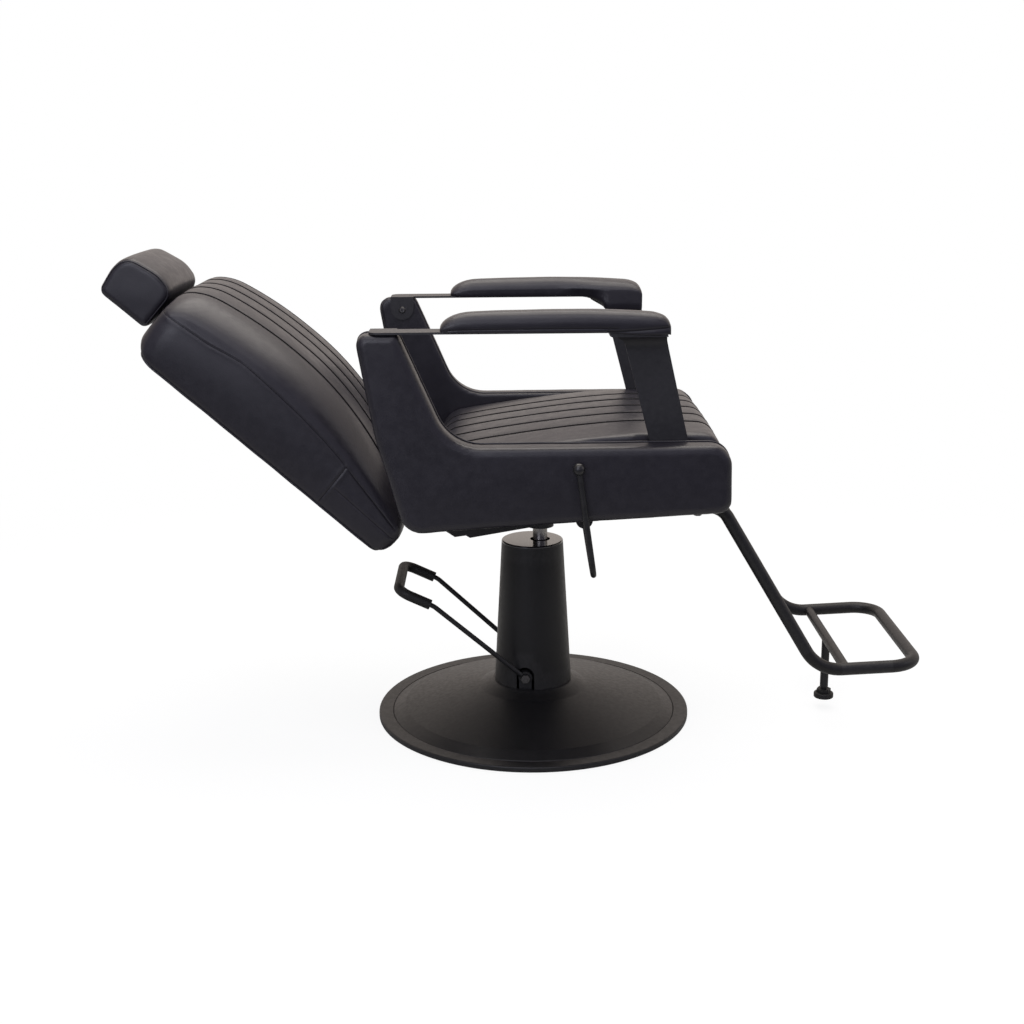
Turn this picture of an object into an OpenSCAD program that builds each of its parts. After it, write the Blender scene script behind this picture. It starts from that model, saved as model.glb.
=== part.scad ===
// Hydraulic barber chair, shown reclined.
// Origin: floor, centre of the round base. +X is the chair's front, +Y the sitter's left, +Z up.

/* [Base] */
// Diameter of the round base
base_d = 650; // [560:10:760]
// Height of the base's flat rim
rim_h = 12; // [10:1:18]
// Width of the flat rim, outside the step
rim_w = 30; // [24:1:40]
// Width of the step's bevel
bevel_w = 26; // [18:1:36]
// Rise of the step's bevel
bevel_h = 11; // [6:1:16]
// Height of the base's crown, where the pump stands
crown_h = 74; // [60:1:90]
// Sheet thickness of the base's cover
base_t = 3; // [2:0.5:4]
// Thickness of the plate that stands on the floor
plate_t = 6; // [5:0.5:8]

/* [Pump] */
// Diameter of the cover at its foot
cover_foot_d = 160; // [156:1:170]
// Diameter of the cover at its top
cover_top_d = 126.6; // [122:0.2:140]
// Height of the cover
cover_h = 298; // [280:1:320]
// Wall of the cover
cover_t = 2; // [1:0.5:3]
// Thickness of the cover's cap
cap_t = 4; // [3:0.5:6]
// Diameter of the piston rod
rod_d = 30; // [26:1:32]
// Distance of the rod in front of the base's centre
rod_x = 16; // [10:1:17]
// Diameter of the oil reservoir
reservoir_d = 90; // [88:1:92]
// Bore of the pressure cylinder
cylinder_d = 40; // [38:1:42]
// Thickness of the pump foot's flange
flange_t = 8; // [6:1:10]
// Gap between the cover's cap and the swivel hub
hub_gap = 28; // [24:1:60]

/* [Pedal] */
// Height of the pedal's pivot over the base's crown
pedal_pivot_h = 25; // [24:1:27]
// Distance of the pedal's pivot behind the base's centre
pedal_pivot_x = 17; // [15:1:19]
// Diameter of the pedal's rod
pedal_d = 10; // [8:1:12]
// Outer diameter of the pedal's rubber sleeve
grip_d = 21; // [17:1:24]
// Width of the pedal between its rods' centres
pedal_w = 192; // [180:2:210]
// Reach of the pedal behind its pivot
pedal_reach = 255; // [230:1:280]
// Rise of the pedal's end over its pivot
pedal_rise = 197; // [180:1:215]

/* [Seat] */
// Distance between the side panels' inner faces
inner_w = 524; // [500:2:560]
// Thickness of a side panel
panel_t = 56; // [44:1:62]
// Height of the seat rails' underside over the floor
rail_z = 500; // [492:1:520]
// Height of a seat rail
rail_h = 20; // [18:1:25]
// Width of a seat rail
rail_w = 30; // [24:1:36]
// Wall of the seat rails
rail_t = 2; // [1.5:0.5:3]
// Thickness of the seat board
board_t = 12; // [9:1:15]
// Rear end of the seat cushion
seat_rear = -190; // [-196:1:-185]
// Front end of the seat cushion
seat_front = 352; // [340:1:370]
// Height of the seat cushion at its crest, over the board
cushion_h = 114; // [100:1:125]
// Spacing of the sewn channels on the seat and the back
channel_pitch = 73; // [55:1:80]
// Number of sewn channels on the seat and the back
channels = 5; // [3:2:5]
// Depth of the sewn channels
channel_depth = 4; // [2:0.5:6]

/* [Arms] */
// Height of the side panels' rear uprights
upright_z = 842; // [820:1:860]
// Height of the side panels' low front part
panel_top_z = 631; // [615:1:640]
// Width of an arm bar
bar_w = 50; // [44:1:52]
// Thickness of an arm bar
bar_t = 4; // [3:0.5:8]
// Rear end of the arm bars
bar_rear = -297; // [-305:1:-285]
// Width of an arm pad
pad_w = 58; // [52:1:64]
// Height of an arm pad
pad_h = 37; // [30:1:45]
// Rear end of an arm pad
pad_rear = -170; // [-190:1:-150]
// Front end of an arm pad
pad_front = 245; // [238:1:255]
// Thickness of a stanchion's plate
stanchion_t = 8; // [6:1:9]

/* [Back] */
// Angle of the back from the vertical, reclined
back_recline = 48.5; // [40:0.5:52]
// Position of the back's hinge along the chair
hinge_x = -215; // [-220:1:-212]
// Length of the back cushion
back_len = 603; // [560:1:640]
// Width of the back cushion
back_w = 490; // [460:2:500]
// Thickness of the back cushion at its thickest
back_t = 194; // [170:1:200]
// Thickness of the back cushion's sides, up to the seam
back_side_t = 118; // [100:1:125]
// Thickness of the back board
back_board_t = 12; // [9:1:14]

/* [Headrest] */
// Length of the headrest along the back
head_len = 114; // [95:1:130]
// Width of the headrest
head_w = 260; // [230:2:300]
// Thickness of the headrest
head_t = 98; // [85:1:110]
// Gap between the back and the headrest
head_gap = 12; // [6:1:30]
// Width of the headrest's post
post_w = 40; // [30:1:50]
// Thickness of the headrest's post
post_t = 6; // [5:0.5:8]

/* [Footrest] */
// Diameter of the footrest's bent tube
foot_tube_d = 25; // [22:1:28]
// Wall of the footrest's bent tube
foot_tube_t = 2.5; // [1.5:0.5:4]
// Width between the footrest tube's centres
foot_w = 374; // [330:2:400]
// Front end of the footrest
foot_front = 761; // [720:1:790]
// Height of the footrest at its cross tube
foot_z = 154; // [145:1:170]
// Diameter of the footrest's cross tube
cross_tube_d = 20; // [16:1:24]
// Position of the cross tube along the chair
cross_tube_x = 616; // [600:1:640]
// Diameter of the foot post
foot_post_d = 17; // [16:1:20]
// Diameter of the glide's disc
glide_d = 41; // [36:1:48]
// Gap between the glide and the floor
glide_gap = 22; // [21:1:26]

/* [Recline lever] */
// Diameter of the lever's rod
lever_d = 11; // [9:1:12]
// Diameter of the ball knob
knob_d = 23; // [20:1:26]
// Length of the lever from its pivot to its knob
lever_up = 115; // [100:1:130]
// Length of the lever from its pivot down to its bend
lever_down = 93; // [80:1:100]
// Position of the lever's pivot along the chair
lever_x = 93; // [90:1:96]

/* [Hidden] */
$fn = 64;

// Clearances
run_fit = 0.05;
slide_gap = 0.3;
soft_gap = 0.3;
bolt_gap = 0.1;

// Finishes
black_metal = "#232224";
black_vinyl = "#2b2a30";
black_rubber = "#1c1c1e";
bright_steel = "#9a9a9c";
dark_steel = "#4b4b4e";
plywood = "#a88458";

// Base
base_r = base_d / 2;
step_r = base_r - rim_w;
dome_r = step_r - bevel_w;
crown_r = cover_foot_d / 2 + 4;
flare_r = crown_r + 28;
flare_h = crown_h - 13;
lip_t = 3;
base_hole_r = cover_foot_d / 2 - 3.5;

// Pump
foot_top = plate_t + flange_t;
cover_top = crown_h + cover_h;
cap_top = cover_top + cap_t;
reservoir_top = cover_top - 32;
head_t_pump = 12;
seal_h = 5;
cylinder_wall = 4;
reservoir_wall = 2.5;
base_bolt_d = 10;
base_bolt_circle = 116;
rod_r = rod_d / 2;
hub_z = cap_top + hub_gap;

// Swivel
spigot_d = rod_d - 6;
bearing_h = 6;
bearing_z = hub_z + 28;
hub_d = rod_d + 26;
hub_plate_t = 6;
hub_plate_l = 190;
mech_w = 200;
mech_t = 4;
hub_bolt_x = 60;
hub_bolt_y = 70;

// Piston
piston_z = 140;
piston_head_h = 18;

// Pedal
pivot_x = -pedal_pivot_x;
pivot_z = crown_h + pedal_pivot_h;
shaft_d = 16;
eye_t = 6;
eye_y = 70;
ear_y = 60;
ear_t = 8;
ear_r = 13;
rocker_in = reservoir_d / 2 + 8;
rocker_w = 6;
rocker_t = 8;
rocker_tilt = 30;
plunger_d = 12;
plunger_x = -58;
plunger_bottom = foot_top + 13;
plunger_top = pivot_z + 14.9;
barrel_top = pivot_z - 15;

// Seat
panel_in = inner_w / 2;
panel_out = panel_in + panel_t;
rail_top = rail_z + rail_h;
rail_rear = seat_rear - 10;
rail_front = seat_front - 17;
board_top = rail_top + board_t;
seat_w = inner_w - 8;
crest_x = 200;
seat_crest = board_top + cushion_h;
crossbar_x = [seat_rear - 10, rod_x - hub_bolt_x - rail_w / 2, rod_x + hub_bolt_x - rail_w / 2, 150,
              rail_front - rail_w - 5];
panel_bolt_x = [-115, 16, 215];

// Arms
bar_out = panel_out;
bar_in = bar_out - bar_w;
bar_z = upright_z;
bar_corner = 18;
tab_t = 5;
tab_w = 49;
tab_drop = 45;
tab_screw_x = bar_rear + tab_w / 2;
tab_screw_z = upright_z - 24;
pad_mid = panel_out - bar_w / 2;
pad_z = bar_z + bar_t;
stanchion_top = bar_z;
stanchion_bend = 30;
stanchion_foot = rail_top + 5;
lean_rear = 0.263;
lean_front = 0.228;

// Back, in its own frame: x is the distance in front of its rear face, z the distance up from its lower end
hinge_z = rail_z - 10;
hinge_t = 110;
hinge_s = -3;
hinge_pin_d = 12;
hinge_eye_d = 28;
arm_y = 150;
arm_w = 30;
strap_t = 6;
strap_s0 = 16;
board_t0 = 12;
board_t1 = board_t0 + back_board_t;
board_s0 = 30;
board_s1 = back_len - 20;
board_half = back_w / 2 - 29;

// Headrest, in the back's frame
head_s0 = back_len + head_gap;
head_s1 = head_s0 + head_len;
head_x0 = 21;
head_board_t = 6;
head_board_s0 = head_s0 + 14;
head_board_len = head_len - 44;
post_x = head_x0 + head_board_t;
socket_wall = 2.5;
post_s0 = back_len - 193;
post_s1 = head_s1 - 17;

// Gas spring
crank_r = 40;
crank_swing = 18.5;
gas_y = 60;
gas_x = 70;
gas_z = hinge_z - crank_r * cos(crank_swing);
crank_x = hinge_x + crank_r * sin(crank_swing);
gas_rod_d = 10;
gas_tube_d = 22;
crank_pin_d = 10;
crank_slack = 2.6;
eye_w = 12;

// Footrest
foot_top_z = rail_z - foot_tube_d / 2;
foot_rise = 0.048;
foot_bend_x = 361;
foot_low_x = 560;
foot_glide_stem_d = 12;

// Recline lever
lever_z = rail_z - 18;
lever_shaft_d = 12;
lever_eye_d = 32;
lever_in_y = -(panel_in - 10);
lever_out_y = -(panel_out + 14);
lever_lean = 0.125;
lever_spread = 3;
release_z = gas_z + 12;
release_d = 5;

// ---------------------------------------------------------------- shared shapes

function unit(v) = v / norm(v);

// Points of the arc that rounds corner b between a and c
function corner_arc(a, b, c, r, steps) =
    let (u = unit(a - b), w = unit(c - b), half = acos(u * w) / 2)
    let (centre = b + unit(u + w) * r / sin(half), start = b + u * r / tan(half) - centre,
         end = b + w * r / tan(half) - centre)
    let (from = atan2(start[1], start[0]), turn = (atan2(end[1], end[0]) - from + 540) % 360 - 180)
    [for (i = [0:steps]) centre + r * [cos(from + turn * i / steps), sin(from + turn * i / steps)]];

// Outline from corners [x, y, radius]
function rounded(corners, steps = 5) =
    let (n = len(corners))
    [for (i = [0:n - 1])
        let (p = corners[i], a = corners[(i + n - 1) % n], c = corners[(i + 1) % n])
        each p[2] > 0
            ? corner_arc([a[0], a[1]], [p[0], p[1]], [c[0], c[1]], p[2], steps)
            : [[p[0], p[1]]]];

// An outline drawn inwards by d, for an outline that runs anticlockwise
function inset(outline, d) =
    let (n = len(outline))
    [for (i = [0:n - 1])
        let (along = unit(outline[(i + 1) % n] - outline[(i + n - 1) % n]))
        outline[i] + d * [-along[1], along[0]]];

// Closed skin over rings of equal length that run anticlockwise about the direction they follow
module skin(rings) {
    n = len(rings[0]);
    last = len(rings) - 1;
    sides = [for (j = [0:last - 1], i = [0:n - 1])
        let (a = j * n + i, b = j * n + (i + 1) % n)
        each [[a, b + n, b], [a, a + n, b + n]]];
    ends = [[for (i = [0:n - 1]) i], [for (i = [n - 1:-1:0]) last * n + i]];
    polyhedron([for (ring = rings) each ring], concat(sides, ends));
}

// A padded slab: outline in the x-z plane, from depth d0 to d1 towards -y, with soft edges of radius r0 and r1
module padded_slab(outline, d0, d1, r0, r1, steps = 3) {
    front = [for (i = [0:steps]) let (a = 90 * i / steps) [d0 + r0 * (1 - cos(a)), r0 * (1 - sin(a))]];
    rear = [for (i = [steps:-1:0]) let (a = 90 * i / steps) [d1 - r1 * (1 - cos(a)), r1 * (1 - sin(a))]];
    rotate([90, 0, 0])
        skin([for (layer = concat(front, rear))
            [for (p = inset(outline, layer[1])) [p[0], p[1], layer[0]]]]);
}

// How far straight lengths run into the bends, and how much thinner a bend is drawn
bend_lap = 0.8;
bend_thin = 0.05;

// Straight rod between two points
module rod_between(p, q, r) {
    d = q - p;
    translate(p)
        rotate([0, acos(d[2] / norm(d)), atan2(d[1], d[0])])
            cylinder(h = norm(d), r = r);
}

// How far a bend reaches along its legs
function bend_reach(a, b, c, r) = r * tan((180 - acos(unit(a - b) * unit(c - b))) / 2);

// One bend of a round bar at corner b
module bar_bend(a, b, c, r, bar_r) {
    come = unit(b - a);
    leave = unit(c - b);
    turn = acos(come * leave);
    side = unit(leave - (come * leave) * come);
    centre = b - come * r * tan(turn / 2) + side * r;
    axis = cross(-side, come);
    multmatrix([
        [-side[0], come[0], axis[0], centre[0]],
        [-side[1], come[1], axis[1], centre[1]],
        [-side[2], come[2], axis[2], centre[2]],
        [0, 0, 0, 1]])
        rotate_extrude(angle = turn)
            translate([r, 0])
                circle(r = bar_r, $fn = 32);
}

// Round bar along points, bent at each inner point by the radius that bends gives for it
module bent_bar(points, bends, bar_r) {
    last = len(points) - 1;
    reach = [for (i = [0:last])
        i == 0 || i == last ? 0 : bend_reach(points[i - 1], points[i], points[i + 1], bends[i - 1])];
    for (i = [0:last - 1]) {
        along = unit(points[i + 1] - points[i]);
        start = reach[i] - (i == 0 ? 0 : bend_lap);
        end = reach[i + 1] - (i == last - 1 ? 0 : bend_lap);
        rod_between(points[i] + along * start, points[i + 1] - along * end, bar_r);
    }
    for (i = [1:last - 1])
        bar_bend(points[i - 1], points[i], points[i + 1], bends[i - 1], bar_r - bend_thin);
}

// Hexagon bolt whose head stands below z = 0 and whose shank rises from it
module hex_bolt(d, length, head_d, head_h) {
    translate([0, 0, -head_h])
        cylinder(h = head_h, r = head_d / 2, $fn = 6);
    cylinder(h = length, r = d / 2, $fn = 32);
}

// Tube along z
module tube(h, outer_r, inner_r) {
    difference() {
        cylinder(h = h, r = outer_r);
        translate([0, 0, -1])
            cylinder(h = h + 2, r = inner_r);
    }
}

// Hollow rectangular bar
module box_tube(size, wall, along) {
    difference() {
        cube(size);
        translate([along == 0 ? -1 : wall, along == 1 ? -1 : wall, wall])
            cube([size[0] + (along == 0 ? 2 : -2 * wall), size[1] + (along == 1 ? 2 : -2 * wall),
                  size[2] - 2 * wall]);
    }
}

// Both sides of the chair: the right one as drawn, the left one mirrored
module both_sides() {
    children();
    mirror([0, 1, 0])
        children();
}

// Places what is drawn in the back's own frame
module in_back() {
    translate([hinge_x, 0, hinge_z])
        rotate([0, -back_recline, 0])
            translate([-hinge_t, 0, -hinge_s])
                children();
}

// ---------------------------------------------------------------- base and pump

module base_plate() {
    color(dark_steel)
        difference() {
            cylinder(h = plate_t, r = base_r - lip_t - 0.5, $fn = 96);
            base_bolt_places() {
                translate([0, 0, 0.4])
                    bolt_sink(bolt_gap);
                translate([0, 0, -1])
                    cylinder(h = 1.5, r = base_bolt_d / 2 + 4.5 + bolt_gap);
            }
        }
}

// Pressed cover over the base plate, with a flat rim, a step and a flared crown
module base_cover() {
    top = [
        [base_r, 2, 0], [base_r, rim_h, 3], [step_r + 1.5, rim_h, 0], [step_r, rim_h - 1.5, 0],
        [step_r - 1.5, rim_h, 0], [dome_r, rim_h + bevel_h, 8], [flare_r, flare_h, 30],
        [crown_r, crown_h, 0], [base_hole_r, crown_h, 0]];
    under = [
        [base_hole_r, crown_h - base_t, 0], [crown_r, crown_h - base_t, 0],
        [flare_r, flare_h - base_t, 0], [dome_r, rim_h + bevel_h - base_t, 0], [step_r - 2, plate_t, 0],
        [base_r - lip_t, plate_t, 0], [base_r - lip_t, 2, 0]];
    color(black_metal)
        rotate_extrude($fn = 128)
            polygon(rounded(concat(top, under)));
}

// Countersunk bolt through the plate into the pump's foot
module bolt_sink(gap) {
    cylinder(h = 0.7, r = base_bolt_d / 2 + 4.5 + gap);
    translate([0, 0, 0.7])
        cylinder(h = 4, r1 = base_bolt_d / 2 + 4.5 + gap, r2 = base_bolt_d / 2 + gap);
    cylinder(h = plate_t + flange_t, r = base_bolt_d / 2 + gap);
}

module base_bolt_places() {
    for (a = [45:90:315])
        rotate([0, 0, a])
            translate([base_bolt_circle / 2, 0, 0])
                children();
}

module base_bolts() {
    color(dark_steel)
        base_bolt_places()
            translate([0, 0, 0.4])
                difference() {
                    bolt_sink(0);
                    translate([0, 0, -1])
                        cylinder(h = 4, r = 3, $fn = 6);
                }
}

module pump_foot() {
    color(dark_steel)
        difference() {
            union() {
                translate([0, 0, plate_t])
                    cylinder(h = flange_t, r = cover_foot_d / 2 - 5);
                translate([plunger_x, 0, foot_top])
                    cylinder(h = barrel_top - foot_top, r = plunger_d / 2 + 4);
                both_sides()
                    translate([pivot_x, -ear_y, pivot_z])
                        rotate([90, 0, 0])
                            linear_extrude(ear_t) {
                                circle(r = ear_r);
                                translate([-ear_r, foot_top - pivot_z])
                                    square([2 * ear_r, pivot_z - foot_top]);
                            }
            }
            translate([pivot_x, 100, pivot_z])
                rotate([90, 0, 0])
                    cylinder(h = 200, r = shaft_d / 2 + run_fit);
            translate([plunger_x, 0, plate_t - 1])
                cylinder(h = barrel_top, r = plunger_d / 2 + run_fit);
            base_bolt_places()
                translate([0, 0, plate_t - 1])
                    cylinder(h = flange_t + 2, r = base_bolt_d / 2 + bolt_gap);
        }
}

module pump_reservoir() {
    color(dark_steel)
        translate([0, 0, foot_top])
            tube(reservoir_top - foot_top, reservoir_d / 2, reservoir_d / 2 - reservoir_wall);
}

module pump_cylinder() {
    color(bright_steel)
        translate([rod_x, 0, foot_top])
            tube(reservoir_top - foot_top, cylinder_d / 2 + cylinder_wall, cylinder_d / 2);
}

module pump_head() {
    color(dark_steel)
        difference() {
            translate([0, 0, reservoir_top])
                cylinder(h = head_t_pump, r = reservoir_d / 2 + 2);
            translate([rod_x, 0, reservoir_top - 1])
                cylinder(h = head_t_pump + 2, r = rod_r + run_fit);
        }
}

module wiper_seal() {
    color(black_rubber)
        translate([rod_x, 0, reservoir_top + head_t_pump])
            tube(seal_h, rod_r + 4, rod_r + run_fit);
}

// The oval opening at the cover's foot, where the pedal's eye stands
module pedal_opening() {
    translate([pivot_x, 0, pivot_z])
        rotate([90, 0, 0])
            linear_extrude(cover_foot_d, center = true) {
                translate([0, 5])
                    circle(r = 18);
                translate([-18, -pedal_pivot_h - 1])
                    square([36, pedal_pivot_h + 6]);
            }
}

module pump_cover() {
    color(black_metal)
        difference() {
            translate([0, 0, crown_h])
                cylinder(h = cover_h, r1 = cover_foot_d / 2, r2 = cover_top_d / 2, $fn = 96);
            translate([0, 0, crown_h - 0.01])
                cylinder(h = cover_h + 0.02, r1 = cover_foot_d / 2 - cover_t, r2 = cover_top_d / 2 - cover_t,
                         $fn = 96);
            pedal_opening();
        }
}

module cover_cap() {
    color("#141414")
        difference() {
            rotate_extrude($fn = 96)
                polygon(rounded([[0, cover_top, 0], [cover_top_d / 2, cover_top, 0],
                                 [cover_top_d / 2, cap_top, cap_t * 0.7], [0, cap_top, 0]]));
            translate([rod_x, 0, cover_top - 1])
                cylinder(h = cap_t + 2, r = rod_r + 5.5);
        }
}

// ---------------------------------------------------------------- pedal

module pump_plunger() {
    color(bright_steel)
        translate([plunger_x, 0, plunger_bottom])
            cylinder(h = plunger_top - plunger_bottom, r = plunger_d / 2);
}

// Half ring behind the reservoir that turns with the pedal
module pump_rocker() {
    color(dark_steel)
        translate([pivot_x, 0, pivot_z])
            rotate([0, rocker_tilt, 0])
                translate([-pivot_x, 0, -rocker_t / 2])
                    difference() {
                        tube(rocker_t, rocker_in + rocker_w, rocker_in);
                        translate([pivot_x + shaft_d / 2 - 2, -100, -1])
                            cube([200, 200, rocker_t + 2]);
                        translate([pivot_x, 0, rocker_t / 2])
                            rotate([90, 0, 0])
                                cylinder(h = 200, r = shaft_d / 2, center = true);
                    }
}

module pedal_pivots() {
    inner_y = 48;
    outer_y = eye_y + eye_t + 2;
    color(dark_steel)
        both_sides()
            translate([pivot_x, -inner_y, pivot_z])
                rotate([90, 0, 0]) {
                    cylinder(h = outer_y - inner_y, r = shaft_d / 2);
                    translate([0, 0, outer_y - inner_y])
                        cylinder(h = 5, r = 9.5, $fn = 6);
                }
}

// Route of the pedal's rod: near eye, near bend, sleeve end, far bend, far eye
function pedal_route() =
    let (end_x = pivot_x - pedal_reach, end_z = pivot_z + pedal_rise, half = pedal_w / 2,
         knee_x = end_x + 71, knee_z = end_z - 33, eye_mid = eye_y + eye_t / 2 + 3)
    [[pivot_x - 8, -eye_mid, pivot_z + 7], [knee_x, -half, knee_z], [end_x, -half, end_z],
     [end_x, half, end_z], [knee_x, half, knee_z], [pivot_x - 8, eye_mid, pivot_z + 7]];

module pedal_rod() {
    color(black_metal)
        difference() {
            union() {
                bent_bar(pedal_route(), [40, 26, 26, 40], pedal_d / 2);
                both_sides()
                    translate([pivot_x, -eye_y, pivot_z])
                        rotate([90, 0, 0])
                            cylinder(h = eye_t, r = 14);
            }
            translate([pivot_x, 0, pivot_z])
                rotate([90, 0, 0])
                    cylinder(h = 200, r = shaft_d / 2, center = true);
        }
}

module pedal_grip() {
    route = pedal_route();
    near = route[1] + (route[2] - route[1]) * 0.1;
    far = route[4] + (route[3] - route[4]) * 0.1;
    grip_route = [near, route[2], route[3], far];
    color(black_rubber)
        difference() {
            bent_bar(grip_route, [26, 26], grip_d / 2);
            bent_bar([near + (near - route[2]) * 0.2, route[2], route[3], far + (far - route[3]) * 0.2],
                     [26, 26], pedal_d / 2);
        }
}

// ---------------------------------------------------------------- piston

module piston_rod() {
    color(bright_steel)
        translate([rod_x, 0, 0]) {
            translate([0, 0, piston_z + piston_head_h])
                cylinder(h = bearing_z - piston_z - piston_head_h, r = rod_r);
            translate([0, 0, bearing_z])
                cylinder(h = rail_z - hub_plate_t - 10 - bearing_z, r = spigot_d / 2);
        }
}

module piston_head() {
    color(dark_steel)
        translate([rod_x, 0, piston_z])
            cylinder(h = piston_head_h, r = cylinder_d / 2 - run_fit);
}

module swivel_bearing() {
    color(bright_steel)
        translate([rod_x, 0, bearing_z])
            tube(bearing_h, rod_r + 7, spigot_d / 2);
}

// ---------------------------------------------------------------- seat frame

module hub_bolt_places() {
    for (x = [-hub_bolt_x, hub_bolt_x], y = [-hub_bolt_y, hub_bolt_y])
        translate([rod_x + x, y, 0])
            children();
}

module swivel_hub() {
    plate_z = rail_z - hub_plate_t;
    color(black_metal)
        difference() {
            union() {
                translate([rod_x, 0, hub_z])
                    cylinder(h = plate_z - hub_z, r = hub_d / 2);
                translate([rod_x - hub_plate_l / 2, -mech_w / 2 + mech_t / 2, plate_z])
                    cube([hub_plate_l, mech_w - mech_t, hub_plate_t]);
            }
            translate([rod_x, 0, hub_z - 1])
                cylinder(h = rail_z - hub_z + 2, r = spigot_d / 2 + run_fit);
            translate([rod_x, 0, hub_z - 1])
                cylinder(h = bearing_z + bearing_h + run_fit - hub_z + 1, r = rod_r + 7 + run_fit);
            hub_bolt_places()
                translate([0, 0, plate_z - 1])
                    cylinder(h = hub_plate_t + 2, r = 4 + bolt_gap);
        }
}

module hub_bolts() {
    color(dark_steel)
        hub_bolt_places()
            translate([0, 0, rail_z - hub_plate_t])
                hex_bolt(8, hub_plate_t + rail_t + 4, 15, 5.5);
}

// Pair of upright plates under the seat, deep at the rear and shallow at the front
module mechanism_plates() {
    low = rail_z - 93;
    profile = [
        [-185, rail_z], [-178, low + 17], [-156, low + 2], [-134, low + 5], [-126, low], [-2, low + 21],
        [118, low + 42], [118, rail_z]];
    color(black_metal)
        both_sides()
            difference() {
                translate([0, -mech_w / 2 + mech_t / 2, 0])
                    rotate([90, 0, 0])
                        linear_extrude(mech_t)
                            polygon(profile);
                translate([lever_x, 0, lever_z])
                    rotate([90, 0, 0])
                        cylinder(h = mech_w, r = lever_shaft_d / 2 + run_fit);
                translate([gas_x, 0, gas_z])
                    rotate([90, 0, 0])
                        cylinder(h = mech_w, r = crank_pin_d / 2);
            }
}

module seat_rails() {
    color(black_metal)
        both_sides()
            difference() {
                translate([rail_rear, -panel_in, rail_z])
                    box_tube([rail_front - rail_rear, rail_w, rail_h], rail_t, 0);
                for (x = panel_bolt_x)
                    translate([x, -panel_in + rail_w + 1, rail_z + rail_h / 2])
                        rotate([90, 0, 0])
                            cylinder(h = rail_w + 2, r = 4 + bolt_gap);
            }
}

module seat_crossbars() {
    half = panel_in - rail_w;
    color(black_metal)
        difference() {
            for (x = crossbar_x)
                translate([x, -half, rail_z])
                    box_tube([rail_w, 2 * half, rail_h], rail_t, 1);
            hub_bolt_places()
                translate([0, 0, rail_z - 1])
                    cylinder(h = rail_t + 2, r = 4 + bolt_gap);
            footrest_bolt_places()
                translate([0, 0, rail_z - 1])
                    cylinder(h = rail_t + 2, r = 4 + bolt_gap);
        }
}

module seat_board() {
    color(plywood)
        translate([seat_rear + 5, -panel_in + 12, rail_top])
            cube([seat_front - seat_rear - 22, inner_w - 24, board_t]);
}

// Height of the seat cushion's top along its length, without its crown
function seat_line(x) =
    let (back = max(0, crest_x - x) / (crest_x - seat_rear), ahead = max(0, x - crest_x) / (seat_front - crest_x),
         rear_soft = max(0, seat_rear + 40 - x), front_soft = max(0, x - seat_front + 36))
    seat_crest - 47 * pow(back, 1.4) - 4 * pow(ahead, 3)
        - (40 - sqrt(40 * 40 - rear_soft * rear_soft)) - (36 - sqrt(36 * 36 - front_soft * front_soft));

// Groove depth of the sewn channels at distance y from the middle
function channel_at(y) = channel_depth * max([for (i = [0:channels - 1])
    max(0, 1 - abs(y - (i - (channels - 1) / 2) * channel_pitch) / 5)]);

// Places across a channelled face, from one side to the other
function across_channels(edge) = concat(
    [-edge, -edge + 14],
    [for (i = [0:channels - 1]) let (y = (i - (channels - 1) / 2) * channel_pitch) each [y - 36, y - 5, y, y + 5]],
    [(channels - 1) / 2 * channel_pitch + 36, edge - 14, edge]);

// One section of the seat cushion, anticlockwise about +x
function seat_section(x) =
    let (dent = 10 * pow(max(0, 1 - pow((x - 262) / 78, 2)), 0.5),
         half = seat_w / 2 - dent,
         top = seat_line(x),
         soft = min(14, (top - board_top) * 0.45),
         edge = half - soft,
         base = board_top + slide_gap)
    concat(
        [[-half + 6, base], [half - 6, base], [half, base + soft], [half - 1, top - soft]],
        [for (y = [for (v = across_channels(edge)) -v])
            [y, top + 7 * (1 - pow(y / edge, 2)) - 0.3 * soft * pow(abs(y) / edge, 6) - channel_at(y)]],
        [[-half + 1, top - soft], [-half, base + soft]]);

module seat_cushion() {
    ends = [seat_rear + 1, seat_rear + 6, seat_rear + 16, seat_rear + 34];
    middle = [-110, -50, 20, 90, 150, 186, 200, 225, 262, 300, 318];
    front = [seat_front - 20, seat_front - 10, seat_front - 4, seat_front - 1];
    color(black_vinyl)
        skin([for (x = concat(ends, middle, front))
            [for (p = seat_section(x)) [x, p[0], p[1]]]]);
}

// ---------------------------------------------------------------- arms and side panels

// Side panel's outline from the side
function panel_outline() = rounded([
    [-240, rail_z - 27, 40], [362, rail_z + 8.5, 28], [360, panel_top_z, 42],
    [-154, panel_top_z, 88], [-247, upright_z, 5], [-322, upright_z, 24], [-288, 650, 300]], 6);

module side_panel() {
    color(black_vinyl)
        padded_slab(panel_outline(), panel_in, panel_out, 5, 12);
}

module side_panel_right() {
    side_panel();
}

module side_panel_left() {
    mirror([0, 1, 0])
        side_panel();
}

module panel_bolts() {
    color(dark_steel)
        both_sides()
            for (x = panel_bolt_x)
                translate([x, -panel_in + rail_w, rail_z + rail_h / 2])
                    rotate([90, 0, 0])
                        hex_bolt(8, rail_w + 22, 15, 5.5);
}

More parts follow.
